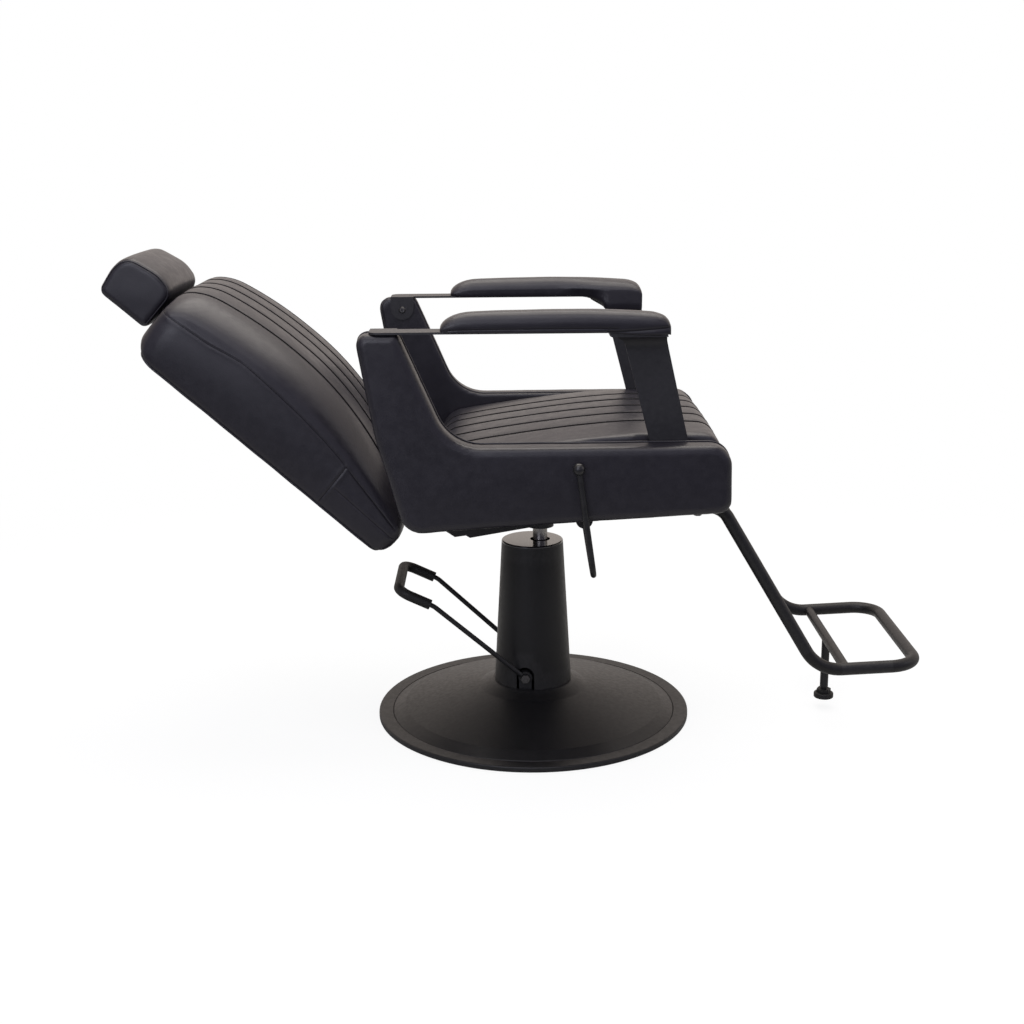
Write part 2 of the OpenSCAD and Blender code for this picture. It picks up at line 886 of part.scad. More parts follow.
module arm_bar() {
    color(black_metal)
        difference() {
            union() {
                translate([0, -bar_out, bar_z])
                    linear_extrude(bar_t) {
                        translate([bar_rear + bar_corner, 0])
                            square([pad_front - 20 - bar_rear - bar_corner, bar_w]);
                        translate([bar_rear, bar_corner])
                            square([bar_corner + 1, bar_w - bar_corner]);
                        translate([bar_rear + bar_corner, bar_corner])
                            circle(r = bar_corner);
                    }
                translate([bar_rear, -bar_in - 1, bar_z])
                    cube([tab_w, bar_in - panel_in + tab_t + 1, bar_t]);
                translate([tab_screw_x, -panel_in + tab_t, 0])
                    rotate([90, 0, 0])
                        linear_extrude(tab_t) {
                            translate([0, bar_z - tab_drop + tab_w / 2])
                                circle(r = tab_w / 2);
                            translate([-tab_w / 2, bar_z - tab_drop + tab_w / 2])
                                square([tab_w, tab_drop - tab_w / 2 + bar_t]);
                        }
            }
            translate([tab_screw_x, -panel_in + tab_t + 1, tab_screw_z])
                rotate([90, 0, 0])
                    cylinder(h = tab_t + 2, r = 3 + bolt_gap);
        }
}

module arm_bar_right() {
    arm_bar();
}

module arm_bar_left() {
    mirror([0, 1, 0])
        arm_bar();
}

module arm_screws() {
    color(dark_steel)
        both_sides()
            translate([tab_screw_x, -panel_in + tab_t, tab_screw_z])
                rotate([90, 0, 0]) {
                    cylinder(h = tab_t + 24, r = 3);
                    difference() {
                        translate([0, 0, -4])
                            cylinder(h = 4, r1 = 5, r2 = 7.5);
                        translate([0, 0, -5])
                            cylinder(h = 3, r = 2.5, $fn = 6);
                    }
                }
}

// Stanchion's outline from the side: it leans forward as it goes down and flares at its top
function stanchion_outline() =
    let (foot_x = 214 + lean_rear * (630 - stanchion_foot), foot_front_x = 285 + lean_front * (630 - stanchion_foot),
         knee_x = 214 - lean_rear * (stanchion_top - 38 - 630), flare_x = knee_x - 34)
    rounded([
        [foot_x, stanchion_foot, 4], [foot_front_x, stanchion_foot, 4],
        [285 - lean_front * (stanchion_top - 630), stanchion_top + 1, 0], [flare_x, stanchion_top + 1, 0],
        [flare_x, stanchion_top - 6, 0], [knee_x - 4, stanchion_top - 22, 20], [knee_x, stanchion_top - 38, 0]]);

// Bent sheet: an upright leg inside the panel that curves out under the arm bar
module stanchion() {
    y_out = panel_in;
    y_in = panel_in - stanchion_t;
    bend_y = y_out + stanchion_bend;
    bend_z = stanchion_top - stanchion_t - stanchion_bend;
    color(black_metal)
        difference() {
            intersection() {
                translate([0, 0, 0])
                    rotate([90, 0, 0])
                        linear_extrude(panel_out)
                            polygon(stanchion_outline());
                translate([0, 0, 0])
                    rotate([90, 0, 90])
                        linear_extrude(500)
                            union() {
                                translate([-y_out, stanchion_foot - 1])
                                    square([stanchion_t, bend_z - stanchion_foot + 1]);
                                translate([-panel_out + 2, stanchion_top - stanchion_t])
                                    square([panel_out - 2 - bend_y, stanchion_t]);
                                intersection() {
                                    translate([-bend_y, bend_z])
                                        difference() {
                                            circle(r = stanchion_bend + stanchion_t);
                                            circle(r = stanchion_bend);
                                        }
                                    translate([-bend_y, bend_z])
                                        square(stanchion_bend + stanchion_t);
                                }
                            }
            }
            stanchion_bolt_places()
                translate([0, 0, -1])
                    cylinder(h = stanchion_t + 2, r = 3 + bolt_gap);
        }
}

module stanchion_right() {
    stanchion();
}

module stanchion_left() {
    mirror([0, 1, 0])
        stanchion();
}

// Bolt places on the right stanchion's inner face, with z into the panel
module stanchion_bolt_places() {
    for (p = [[267, stanchion_foot + 35], [257, stanchion_foot + 73]])
        translate([p[0], -panel_in + stanchion_t, p[1]])
            rotate([90, 0, 0])
                children();
}

module stanchion_bolts() {
    color(dark_steel)
        both_sides()
            stanchion_bolt_places() {
                cylinder(h = stanchion_t + 22, r = 3);
                translate([0, 0, -3])
                    cylinder(h = 3, r = 6);
            }
}

// How far the arm pad's inner flap is down at x: 0 at the rear, 1 over the stanchion
function flap_at(x) =
    let (start = pad_front - 150, full = pad_front - 80, part = min(1, max(0, (x - start) / (full - start))))
    1 - sqrt(1 - part * part);

// One section of an arm pad, in [y, z], anticlockwise about +x, for the right arm
function pad_section(x) =
    let (nose = min(1, (x - pad_rear) / 60), tail = min(1, (pad_front - x) / 30),
         end_rise = sqrt(1 - pow(1 - nose, 2)), end_fall = sqrt(1 - pow(1 - tail, 2)),
         rise = 6 + (pad_h - 6) * min(end_rise, end_fall) - 3 * pow((x - 60) / 200, 2),
         half = pad_w / 2 - 8 * (1 - sqrt(1 - pow(1 - min(1, (x - pad_rear) / 30), 2))) - 6 * (1 - end_fall),
         k = flap_at(x), out = -pad_mid - half, in_y = -pad_mid + half, z0 = pad_z,
         bend_y = -(panel_in + stanchion_bend), bend_z = stanchion_top - stanchion_t - stanchion_bend,
         r = (stanchion_bend + stanchion_t + slide_gap) / cos(7.5), low = pad_z - 35,
         edge = min(-bar_in + soft_gap, in_y - 3))
    concat(
        [[out + 5, z0], [edge, z0]],
        [for (i = [1:3])
            let (a = 60 - 15 * i, p = [bend_y + r * cos(a), bend_z + r * sin(a)])
            [edge + k * (p[0] - edge) + (1 - k) * 0.5 * i, z0 + k * (p[1] - z0) + (1 - k) * 0.1 * i * i]],
        [[in_y - 1 + k * (-y_flap() - in_y), z0 + k * (low - z0) + (1 - k) * 1.3],
         [in_y + k * (-y_flap() + 2 - in_y), z0 + rise * 0.2 + k * (low + 14 - rise * 0.2 - z0)],
         [in_y + k * (-y_flap() - in_y), z0 + rise * 0.45],
         [in_y - 5 + k * (-y_flap() - in_y) * 0.9, z0 + rise * 0.8],
         [in_y - 14 + k * (-y_flap() - in_y) * 0.6, z0 + rise * 0.96],
         [-pad_mid, z0 + rise], [out + 14, z0 + rise * 0.95], [out + 5, z0 + rise * 0.78],
         [out, z0 + rise * 0.45], [out + 1, z0 + rise * 0.15]]);

// Inner face of the pad's flap, from the middle of the chair
function y_flap() = panel_in - stanchion_t - 8;

module arm_pad() {
    places = concat([for (d = [1, 4, 12, 28, 60]) pad_rear + d], [-40, 30, 80, 110],
                    [for (d = [105, 95, 88, 81, 50, 20, 9, 3, 0.5]) pad_front - d]);
    color(black_vinyl)
        skin([for (x = places)
            [for (p = pad_section(x)) [x, p[0], p[1]]]]);
}

module arm_pad_right() {
    arm_pad();
}

module arm_pad_left() {
    mirror([0, 1, 0])
        arm_pad();
}

// ---------------------------------------------------------------- footrest

function run_z(x) = foot_z + foot_rise * (x - cross_tube_x);

module footrest_frame() {
    half = foot_w / 2;
    side = [[crossbar_x[3] - 6, foot_top_z], [foot_bend_x, foot_top_z], [foot_low_x, run_z(foot_low_x)],
            [foot_front, run_z(foot_front)]];
    route = concat([for (p = side) [p[0], -half, p[1]]],
                   [for (i = [3:-1:0]) [side[i][0], half, side[i][1]]]);
    color(black_metal)
        difference() {
            union() {
                bent_bar(route, [42, 78, 55, 55, 78, 42], foot_tube_d / 2);
                translate([cross_tube_x, half, foot_z])
                    rotate([90, 0, 0])
                        cylinder(h = foot_w, r = cross_tube_d / 2);
            }
            bent_bar(concat([route[0] - [5, 0, 0]], [for (i = [1:6]) route[i]], [route[7] - [5, 0, 0]]),
                     [42, 78, 55, 55, 78, 42], foot_tube_d / 2 - foot_tube_t);
            footrest_bolt_places()
                translate([0, 0, rail_z - foot_tube_d - 1])
                    cylinder(h = foot_tube_d + 2, r = 4 + bolt_gap);
        }
}

module footrest_bolt_places() {
    for (x = [crossbar_x[3], crossbar_x[4]], y = [-foot_w / 2, foot_w / 2])
        translate([x + rail_w / 2, y, 0])
            children();
}

module footrest_bolts() {
    color(dark_steel)
        footrest_bolt_places()
            translate([0, 0, rail_z - foot_tube_d])
                hex_bolt(8, foot_tube_d + rail_t + 5, 15, 3.5);
}

module foot_post() {
    bottom = glide_gap + 24;
    color(black_metal)
        difference() {
            translate([cross_tube_x, 0, bottom])
                cylinder(h = foot_z - bottom, r = foot_post_d / 2);
            translate([cross_tube_x, 50, foot_z])
                rotate([90, 0, 0])
                    cylinder(h = 100, r = cross_tube_d / 2);
            translate([cross_tube_x, 0, bottom - 1])
                cylinder(h = 66, r = foot_glide_stem_d / 2 + run_fit);
        }
}

module foot_glide() {
    color(black_rubber)
        translate([cross_tube_x, 0, glide_gap]) {
            rotate_extrude()
                polygon(rounded([[0, 0, 0], [glide_d / 2, 0, 2], [glide_d / 2, 11, 3], [0, 11, 0]], 3));
            translate([0, 0, 11])
                cylinder(h = 8, r = 15, $fn = 6);
            translate([0, 0, 19])
                cylinder(h = 55, r = foot_glide_stem_d / 2);
        }
}

// ---------------------------------------------------------------- back hinge and gas spring

module hinge_brackets() {
    y0 = arm_y + arm_w / 2 + slide_gap;
    rear_x = crossbar_x[0];
    color(black_metal)
        both_sides()
            difference() {
                translate([0, -y0, 0])
                    rotate([90, 0, 0])
                        linear_extrude(6) {
                            translate([hinge_x, hinge_z])
                                circle(r = hinge_eye_d / 2);
                            polygon([[hinge_x, hinge_z - hinge_eye_d / 2], [rear_x + rail_w, rail_z - 12],
                                     [rear_x + rail_w, rail_z], [rear_x, rail_z], [hinge_x + 8, hinge_z + 9]]);
                        }
                translate([hinge_x, -y0 + 1, hinge_z])
                    rotate([90, 0, 0])
                        cylinder(h = 8, r = hinge_pin_d / 2 + bolt_gap);
            }
}

module hinge_bolts() {
    head_y = arm_y + arm_w / 2 + slide_gap + 6;
    color(dark_steel)
        both_sides()
            translate([hinge_x, -head_y, hinge_z])
                rotate([-90, 0, 0])
                    hex_bolt(hinge_pin_d, head_y - arm_y + arm_w / 2, 19, 7);
}

// Flat straps behind the back board, bent forward under the cushion to the hinge
module hinge_arms() {
    low = strap_s0;
    eye_r = hinge_eye_d / 2;
    color(black_metal)
        in_back()
            both_sides()
                difference() {
                    translate([0, -arm_y + arm_w / 2, 0])
                        rotate([90, 0, 0])
                            linear_extrude(arm_w) {
                                polygon([[board_t0 - strap_t, low], [hinge_t - eye_r, low],
                                         [hinge_t - eye_r, hinge_s], [hinge_t + eye_r, hinge_s],
                                         [hinge_t + eye_r, low + strap_t], [board_t0, low + strap_t],
                                         [board_t0, 230], [board_t0 - strap_t, 230]]);
                                translate([hinge_t, hinge_s])
                                    circle(r = eye_r);
                            }
                    translate([hinge_t, 0, hinge_s])
                        rotate([90, 0, 0])
                            cylinder(h = 300, r = hinge_pin_d / 2 + run_fit);
                    back_bolt_places()
                        cylinder(h = 20, r = 3 + bolt_gap, center = true);
                }
}

module recline_crank() {
    color(black_metal)
        difference() {
            union() {
                translate([hinge_x, arm_y - arm_w / 2, hinge_z])
                    rotate([90, 0, 0])
                        cylinder(h = 2 * arm_y - arm_w, r = 11);
                for (y = [gas_y - eye_w / 2 - 6, gas_y + eye_w / 2 + 1])
                    translate([0, y + 5, 0])
                        rotate([90, 0, 0])
                            linear_extrude(5) {
                                translate([hinge_x, hinge_z])
                                    circle(r = 15);
                                translate([crank_x, gas_z])
                                    circle(r = 11);
                                polygon([[hinge_x - 14, hinge_z - 5], [crank_x - 10, gas_z - 4],
                                         [crank_x + 10, gas_z + 4], [hinge_x + 14, hinge_z + 5]]);
                            }
                translate([crank_x, gas_y + eye_w / 2 + 6, gas_z])
                    rotate([90, 0, 0])
                        cylinder(h = eye_w + 12, r = crank_pin_d / 2);
            }
            for (side = [-1, 1])
                translate([hinge_x, side * (arm_y - arm_w / 2), hinge_z])
                    rotate([90, 0, 0])
                        cylinder(h = 60, r = 8, center = true);
        }
}

module gas_cylinder() {
    front = gas_x - 112;
    color(black_metal)
        difference() {
            union() {
                translate([crank_x + 20, gas_y, gas_z])
                    rotate([0, 90, 0])
                        cylinder(h = front - crank_x - 20, r = gas_tube_d / 2);
                translate([crank_x, gas_y - eye_w / 2, gas_z - 8])
                    cube([22, eye_w, 16]);
                translate([crank_x, gas_y + eye_w / 2, gas_z])
                    rotate([90, 0, 0])
                        cylinder(h = eye_w, r = crank_pin_d / 2 + crank_slack + 4.4);
            }
            translate([crank_x, gas_y + 20, gas_z])
                rotate([90, 0, 0])
                    cylinder(h = 40, r = crank_pin_d / 2 + crank_slack);
            translate([crank_x + 24, gas_y, gas_z])
                rotate([0, 90, 0])
                    cylinder(h = front - crank_x - 32, r = gas_tube_d / 2 - 2);
            translate([crank_x + 26, gas_y, gas_z])
                rotate([0, 90, 0])
                    cylinder(h = 300, r = gas_rod_d / 2 + run_fit);
        }
}

module gas_rod() {
    inner_end = gas_x - 220;
    color(bright_steel)
        difference() {
            union() {
                translate([inner_end, gas_y, gas_z])
                    rotate([0, 90, 0])
                        cylinder(h = gas_x - 10 - inner_end, r = gas_rod_d / 2);
                translate([inner_end, gas_y, gas_z])
                    rotate([0, 90, 0])
                        cylinder(h = 8, r = gas_tube_d / 2 - 2 - run_fit);
                translate([gas_x - 12, gas_y - eye_w / 2, gas_z - 10])
                    cube([26, eye_w, release_z - gas_z + 16]);
            }
            translate([gas_x, gas_y + 20, gas_z])
                rotate([90, 0, 0])
                    cylinder(h = 40, r = crank_pin_d / 2);
            translate([gas_x - 8, gas_y, release_z])
                rotate([0, 90, 0])
                    cylinder(h = 30, r = release_d / 2 + run_fit);
        }
}

module gas_pin() {
    far = mech_w / 2 + mech_t / 2;
    color(dark_steel)
        translate([gas_x, far, gas_z])
            rotate([90, 0, 0])
                cylinder(h = far - gas_y + eye_w / 2 + 2, r = crank_pin_d / 2);
}

module release_pin() {
    color(bright_steel)
        translate([gas_x + 2, gas_y, release_z])
            rotate([0, 90, 0])
                cylinder(h = lever_x - 1 - gas_x - 2, r = release_d / 2);
}

// ---------------------------------------------------------------- back and headrest

// Bolt places on the back board's straps, with z towards the front
module back_bolt_places() {
    for (y = [-arm_y, arm_y], s = [60, 180])
        translate([board_t0 - strap_t, y, s])
            rotate([0, 90, 0])
                children();
}

module back_bolts() {
    color(dark_steel)
        in_back()
            back_bolt_places() {
                translate([0, 0, -3])
                    cylinder(h = 3, r = 7);
                cylinder(h = strap_t + 9, r = 3);
            }
}

module back_board() {
    color(plywood)
        in_back()
            difference() {
                translate([board_t0, -board_half + soft_gap, board_s0 + soft_gap])
                    cube([back_board_t, 2 * (board_half - soft_gap), board_s1 - board_s0 - 2 * soft_gap]);
                back_bolt_places()
                    cylinder(h = strap_t + 9, r = 3);
            }
}

module back_cover() {
    color(black_vinyl)
        in_back()
            translate([0, -board_half + soft_gap, 2])
                cube([2.6, 2 * (board_half - soft_gap), board_s1 - 2 - soft_gap]);
}

// Front of the back cushion along its length, at the middle
function back_line(s) =
    let (f = s / back_len, low = 72, belly = sin(180 * pow(f, 0.8) / 1.5), top_soft = max(0, s - back_len + 62))
    low + (back_t - low) * min(1, pow(sin(90 * min(1, f / 0.6)), 0.75)) * (1 - 0.28 * pow(max(0, f - 0.6) / 0.4, 2.2))
        - 34 * (1 - sqrt(1 - pow(top_soft / 64, 2)));

// Seam height of the back cushion's sides along its length
function back_seam(s) =
    let (f = s / back_len)
    56 + (back_side_t - 56) * pow(sin(90 * min(1, f / 0.62)), 0.8) * (1 - 0.4 * pow(max(0, f - 0.62) / 0.38, 1.6));

// One section of the back cushion in [x, y], anticlockwise about +z
function back_section(s) =
    let (end = min(1, min(s, back_len - s) / 26), narrow = 20 * (1 - sqrt(1 - pow(1 - end, 2))),
         half = back_w / 2 - narrow, rear = 30 * (1 - sqrt(1 - pow(1 - min(1, min(s, back_len - s) / 37), 2))),
         front = back_line(s), seam = min(back_seam(s), front - 12), edge = half - 26)
    concat(
        [[(rear + seam) / 2, half], [rear + 7, half - 2], [rear, half - 9], [rear, -half + 9],
         [rear + 7, -half + 2], [(rear + seam) / 2, -half], [seam, -half + 1],
         [seam + 0.35 * (front - seam), -half + 6]],
        [for (y = across_channels(edge))
            [front - 0.42 * (front - seam) * pow(abs(y) / edge, 2.6) - channel_at(y) * end, y]],
        [[seam + 0.35 * (front - seam), half - 6], [seam, half - 1]]);

module back_cushion() {
    places = [0.5, 4, 12, 26, 60, 110, 170, 235, 300, 365, 430, 490, 541, 570, back_len - 20, back_len - 9,
              back_len - 3, back_len - 0.5];
    color(black_vinyl)
        in_back()
            difference() {
                skin([for (s = places) [for (p = back_section(s)) [p[0], p[1], s]]]);
                translate([0, board_half, 0])
                    rotate([90, 0, 0])
                        linear_extrude(2 * board_half)
                            polygon([[-1, -5], [board_t0 + soft_gap, -5], [board_t0 + soft_gap, board_s0],
                                     [board_t1, board_s0], [board_t1, board_s1], [-1, board_s1]]);
                translate([board_t1 - 5, -post_w / 2 - socket_wall - 2 * slide_gap, post_s0 - 6])
                    cube([post_t + 2 * socket_wall + 6, post_w + 2 * socket_wall + 4 * slide_gap, 300]);
                both_sides()
                    translate([0, -arm_y - arm_w / 2 - soft_gap, 0]) {
                        translate([-1, 0, strap_s0 - soft_gap])
                            cube([hinge_t + 1, arm_w + 2 * soft_gap, strap_t + 2 * soft_gap]);
                        translate([hinge_t - hinge_eye_d / 2 - soft_gap, 0, -60])
                            cube([80, arm_w + 2 * soft_gap, strap_s0 + strap_t + soft_gap + 60]);
                    }
            }
}

module headrest_socket() {
    length = back_len - 2 - post_s0 + 8;
    color(black_metal)
        in_back()
            translate([board_t1, 0, post_s0 - 4])
                difference() {
                    translate([0, -post_w / 2 - socket_wall - slide_gap, 0])
                        cube([post_x - board_t1 + post_t + socket_wall + slide_gap,
                              post_w + 2 * socket_wall + 2 * slide_gap, length - 4]);
                    translate([post_x - board_t1 - slide_gap, -post_w / 2 - slide_gap, 2])
                        cube([post_t + 2 * slide_gap, post_w + 2 * slide_gap, length]);
                }
}

module headrest_post() {
    color(bright_steel)
        in_back()
            translate([post_x, -post_w / 2, post_s0])
                cube([post_t, post_w, post_s1 - post_s0]);
}

module headrest_board() {
    color(plywood)
        in_back()
            translate([head_x0, -head_w / 2 + 26, head_board_s0])
                cube([head_board_t, head_w - 52, head_board_len]);
}

module headrest_pad() {
    front = head_x0 + head_t;
    outline = rounded([
        [head_x0, head_s0, 12], [front - 4, head_s0, 20], [front + 2, head_s0 + head_len * 0.3, 60],
        [front - 8, head_s1 - 3, 30], [head_x0 + 36, head_s1, 40], [head_x0, head_s1 - 12, 14]], 4);
    color(black_vinyl)
        in_back()
            difference() {
                translate([0, 0, 0])
                    padded_slab(outline, -head_w / 2, head_w / 2, 14, 14, 4);
                translate([head_x0 - 1, -head_w / 2 + 26 - soft_gap, head_board_s0 - soft_gap])
                    cube([head_board_t + 1, head_w - 52 + 2 * soft_gap, head_board_len + 2 * soft_gap]);
                translate([head_x0 - 1, -post_w / 2 - soft_gap, head_s0 - 5])
                    cube([post_x - head_x0 + 1 + post_t + soft_gap, post_w + 2 * soft_gap,
                          post_s1 - head_s0 + 5 + soft_gap]);
            }
}

// ---------------------------------------------------------------- recline lever

module lever_bracket() {
    y_out = panel_in - rail_w + 8;
    color(black_metal)
        difference() {
            translate([0, -y_out + 6, 0])
                rotate([90, 0, 0])
                    linear_extrude(6) {
                        translate([lever_x, lever_z])
                            circle(r = 16);
                        translate([lever_x - 16, lever_z])
                            square([32, rail_z - lever_z]);
                    }
            translate([lever_x, 0, lever_z])
                rotate([90, 0, 0])
                    cylinder(h = panel_in, r = lever_shaft_d / 2 + run_fit);
        }
}

module lever_shaft() {
    tab_x = lever_x - 0.4;
    color(dark_steel) {
        translate([lever_x, gas_y + 8, lever_z])
            rotate([90, 0, 0])
                cylinder(h = gas_y + 8 - lever_in_y - eye_t, r = lever_shaft_d / 2);
        translate([tab_x, gas_y - 5, release_z - 4])
            cube([6, 10, lever_z - release_z + 2]);
    }
}

function lever_at(height) = [lever_x - lever_lean * height, lever_z + height];

function lever_low() = lever_at(-lever_down) + [lever_spread, 0];

module lever_rod() {
    low = lever_low();
    top = lever_at(lever_up - 4);
    color(black_metal) {
        bent_bar([[lever_x, lever_in_y, lever_z], [low[0], lever_in_y, low[1]],
                  [low[0], lever_out_y, low[1]], [top[0], lever_out_y, top[1]]], [32, 32], lever_d / 2);
        translate([lever_x, lever_in_y + eye_t, lever_z])
            rotate([90, 0, 0])
                cylinder(h = 2 * eye_t, r = lever_eye_d / 2);
    }
}

module lever_knob() {
    top = lever_at(lever_up);
    color(black_rubber)
        difference() {
            translate([top[0], lever_out_y, top[1]])
                sphere(r = knob_d / 2, $fn = 48);
            rod_between([lever_low()[0], lever_out_y, lever_low()[1]],
                        [lever_at(lever_up - 4)[0], lever_out_y, lever_z + lever_up - 4], lever_d / 2);
        }
}

// ---------------------------------------------------------------- every piece

base_plate();
base_cover();
base_bolts();
pump_foot();
pump_reservoir();
pump_cylinder();
pump_head();
wiper_seal();
pump_cover();
cover_cap();
pump_plunger();
pump_rocker();
pedal_pivots();
pedal_rod();
pedal_grip();
piston_rod();
piston_head();
swivel_bearing();
swivel_hub();
hub_bolts();
mechanism_plates();
seat_rails();
seat_crossbars();
seat_board();
seat_cushion();
side_panel_left();
side_panel_right();
panel_bolts();
arm_bar_left();
arm_bar_right();
arm_screws();
stanchion_left();
stanchion_right();
stanchion_bolts();
arm_pad_left();
arm_pad_right();
footrest_frame();
footrest_bolts();
foot_post();
foot_glide();
hinge_brackets();
hinge_bolts();
hinge_arms();
recline_crank();
back_board();
back_cushion();
back_cover();
back_bolts();
headrest_socket();
headrest_post();
headrest_board();
headrest_pad();
gas_rod();
gas_pin();
gas_cylinder();
release_pin();
lever_bracket();
lever_shaft();
lever_rod();
lever_knob();
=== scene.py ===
"""Hydraulic barber chair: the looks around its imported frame."""
import math

import bmesh
import bpy
import numpy as np
from mathutils import Matrix, Vector
from mathutils.bvhtree import BVHTree


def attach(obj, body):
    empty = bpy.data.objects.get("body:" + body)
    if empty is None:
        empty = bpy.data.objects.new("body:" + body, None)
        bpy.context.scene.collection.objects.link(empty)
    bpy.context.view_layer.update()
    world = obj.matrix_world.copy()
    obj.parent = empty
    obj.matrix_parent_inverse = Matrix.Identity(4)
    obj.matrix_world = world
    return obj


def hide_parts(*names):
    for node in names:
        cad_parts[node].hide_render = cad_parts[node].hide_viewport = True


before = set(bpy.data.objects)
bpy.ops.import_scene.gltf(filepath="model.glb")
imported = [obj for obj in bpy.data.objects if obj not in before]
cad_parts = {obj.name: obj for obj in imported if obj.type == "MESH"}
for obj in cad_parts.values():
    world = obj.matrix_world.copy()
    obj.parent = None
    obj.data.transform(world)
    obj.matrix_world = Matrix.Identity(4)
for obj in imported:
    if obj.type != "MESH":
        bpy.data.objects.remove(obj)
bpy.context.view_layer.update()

SCENE = bpy.context.scene
MM = 0.001

# Sizes of the part as in its source, in millimetres: X forward, Y to the sitter's left, Z up
SEAT_REAR, SEAT_FRONT, SEAT_HALF = -190, 352, 258
BOARD_TOP, SEAT_CREST, CREST_X = 532, 646, 200
PANEL_IN, PANEL_OUT = 262, 318
PITCH = 73
BACK_LEN, BACK_HALF, BACK_T = 603, 245, 194
HINGE = np.array([-215.0, 0.0, 490.0])
RECLINE = math.radians(48.5)
HEAD_S, HEAD_LEN, HEAD_HALF, HEAD_X = 615, 114, 130, 21
PAD_REAR, PAD_FRONT, PAD_W, PAD_H, PAD_Z = -170, 243.5, 58, 36, 846
BAR_Z, BAR_W = 842, 50
STANCHION_X, STANCHION_REACH, STANCHION_DENT = 262, 78, 10

# The back's own frame is [t, y, s]: t forward, square to the back, and s up along it.
# The hinge is at t = HINGE_T, s = -HINGE_S
HINGE_T, HINGE_S = 110, 3
BACK_NORMAL = np.array([math.cos(RECLINE), 0, math.sin(RECLINE)])
BACK_UP = np.array([-math.sin(RECLINE), 0, math.cos(RECLINE)])

# How the upholstery departs from the solids
SEAT_CROWN = 7
BACK_SAG, BACK_FLAT = 4, 9
PAD_LIP = 5.2
CHANNELS = 5
CHANNEL_GROOVE, CHANNEL_VALLEY = 2.4, 10.0
# Radius and lift of the dark cord in each channel groove, which is painted shade of the groove
CHANNEL_SHADE_CORD, CHANNEL_LIFT = 1.4, -0.9

# The camera, solved from the photograph: its pixels, angles in degrees, place in metres
PHOTO_PX, FOCAL_PX, SENSOR_MM = 1024, 1495.86, 36
PITCH_DOWN, YAW, ROLL = 14.4875, 0.3103, -0.4856
CAMERA_AT = (-0.05744, -2.97054, 1.20067)

WHITE = (1, 1, 1, 1)
FLOOR_FAR, FLOOR_NEAR = (0.12, 0.125, 0.15, 1), (0.62, 0.605, 0.58, 1)
ROOM_FRONT, ROOM_REAR = (0.41, 0.395, 0.50, 1), (0.86, 0.77, 0.71, 1)

# Name, place, aim, size, watts and tint
LIGHTS = [
    ("overhead", (0.1, 0.6, 3.0), (0, 0, 0.4), (2.4, 2.4), 58, (1.0, 0.95, 0.89)),
    ("front_fill", (-1.2, -3.4, 2.2), (0, 0, 0.6), (1.8, 1.8), 33, (0.88, 0.90, 1.0)),
    ("left_fill", (-1.6, -2.9, 0.85), (-0.7, 0, 0.8), (1.2, 1.0), 5, (0.86, 0.88, 1.0)),
    ("side_fill", (2.9, -0.6, 1.9), (0, 0, 0.5), (1.4, 1.8), 6.5, (0.95, 0.97, 1.0)),
    ("high_front", (-0.4, -1.5, 3.2), (0, 0, 0.5), (2.6, 1.3), 26, (0.92, 0.91, 0.96)),
]


# ------------------------------------------------------------------ materials

def node(tree, kind, inputs=(), **props):
    """A shader node with its inputs set to values or linked to sockets."""
    made = tree.nodes.new("ShaderNode" + kind)
    for key, value in props.items():
        setattr(made, key, value)
    for key, value in dict(inputs).items():
        if isinstance(value, bpy.types.NodeSocket):
            tree.links.new(value, made.inputs[key])
        else:
            made.inputs[key].default_value = value
    return made


def spread(tree, value, low, high, to_low=0.0, to_high=1.0):
    """Maps a value smoothly from one range to another."""
    return node(tree, "MapRange", {0: value, 1: low, 2: high, 3: to_low, 4: to_high},
                interpolation_type="SMOOTHSTEP").outputs[0]


def mixed(tree, factor, a, b):
    """Mix of two colours."""
    return node(tree, "Mix", {0: factor, 6: a, 7: b}, data_type="RGBA").outputs[2]


def colour(value, k=1.0):
    """A colour made k times as bright, with its alpha."""
    return (value[0] * k, value[1] * k, value[2] * k, 1.0)


def grain_height(tree, place, kind, scale):
    """Height field of one kind of surface grain."""
    if kind == "pebble":
        cells = node(tree, "TexVoronoi", {"Vector": place, "Scale": scale, "Randomness": 0.9},
                     feature="SMOOTH_F1")
        fine = node(tree, "TexNoise", {"Vector": place, "Scale": scale * 1.7, "Detail": 3.0})
        folds = node(tree, "TexNoise", {"Vector": place, "Scale": scale * 0.05, "Detail": 4.0,
                                        "Distortion": 0.6})
        low = node(tree, "Math", {0: cells.outputs["Distance"], 1: 0.8}, operation="MULTIPLY")
        part = node(tree, "Math", {0: fine.outputs["Fac"], 1: 0.35, 2: low.outputs[0]},
                    operation="MULTIPLY_ADD")
        return node(tree, "Math", {0: folds.outputs["Fac"], 1: 2.2, 2: part.outputs[0]},
                    operation="MULTIPLY_ADD").outputs[0]
    if kind == "brushed":
        long = node(tree, "Mapping", {"Vector": place, "Scale": (1.0, 1.0, 60.0)})
        lines = node(tree, "TexNoise", {"Vector": long.outputs[0], "Scale": scale, "Detail": 4.0})
        return lines.outputs["Fac"]
    if kind == "wood":
        long = node(tree, "Mapping", {"Vector": place, "Scale": (1.0, 14.0, 14.0)})
        lines = node(tree, "TexNoise", {"Vector": long.outputs[0], "Scale": scale, "Detail": 5.0,
                                        "Distortion": 1.2})
        return lines.outputs["Fac"]
    peel = node(tree, "TexNoise",
                {"Vector": place, "Scale": scale, "Detail": 2.0, "Roughness": 0.45})
    fine = node(tree, "TexNoise", {"Vector": place, "Scale": scale * 4.3, "Detail": 2.0})
    return node(tree, "Math", {0: fine.outputs["Fac"], 1: 0.25, 2: peel.outputs["Fac"]},
                operation="MULTIPLY_ADD").outputs[0]


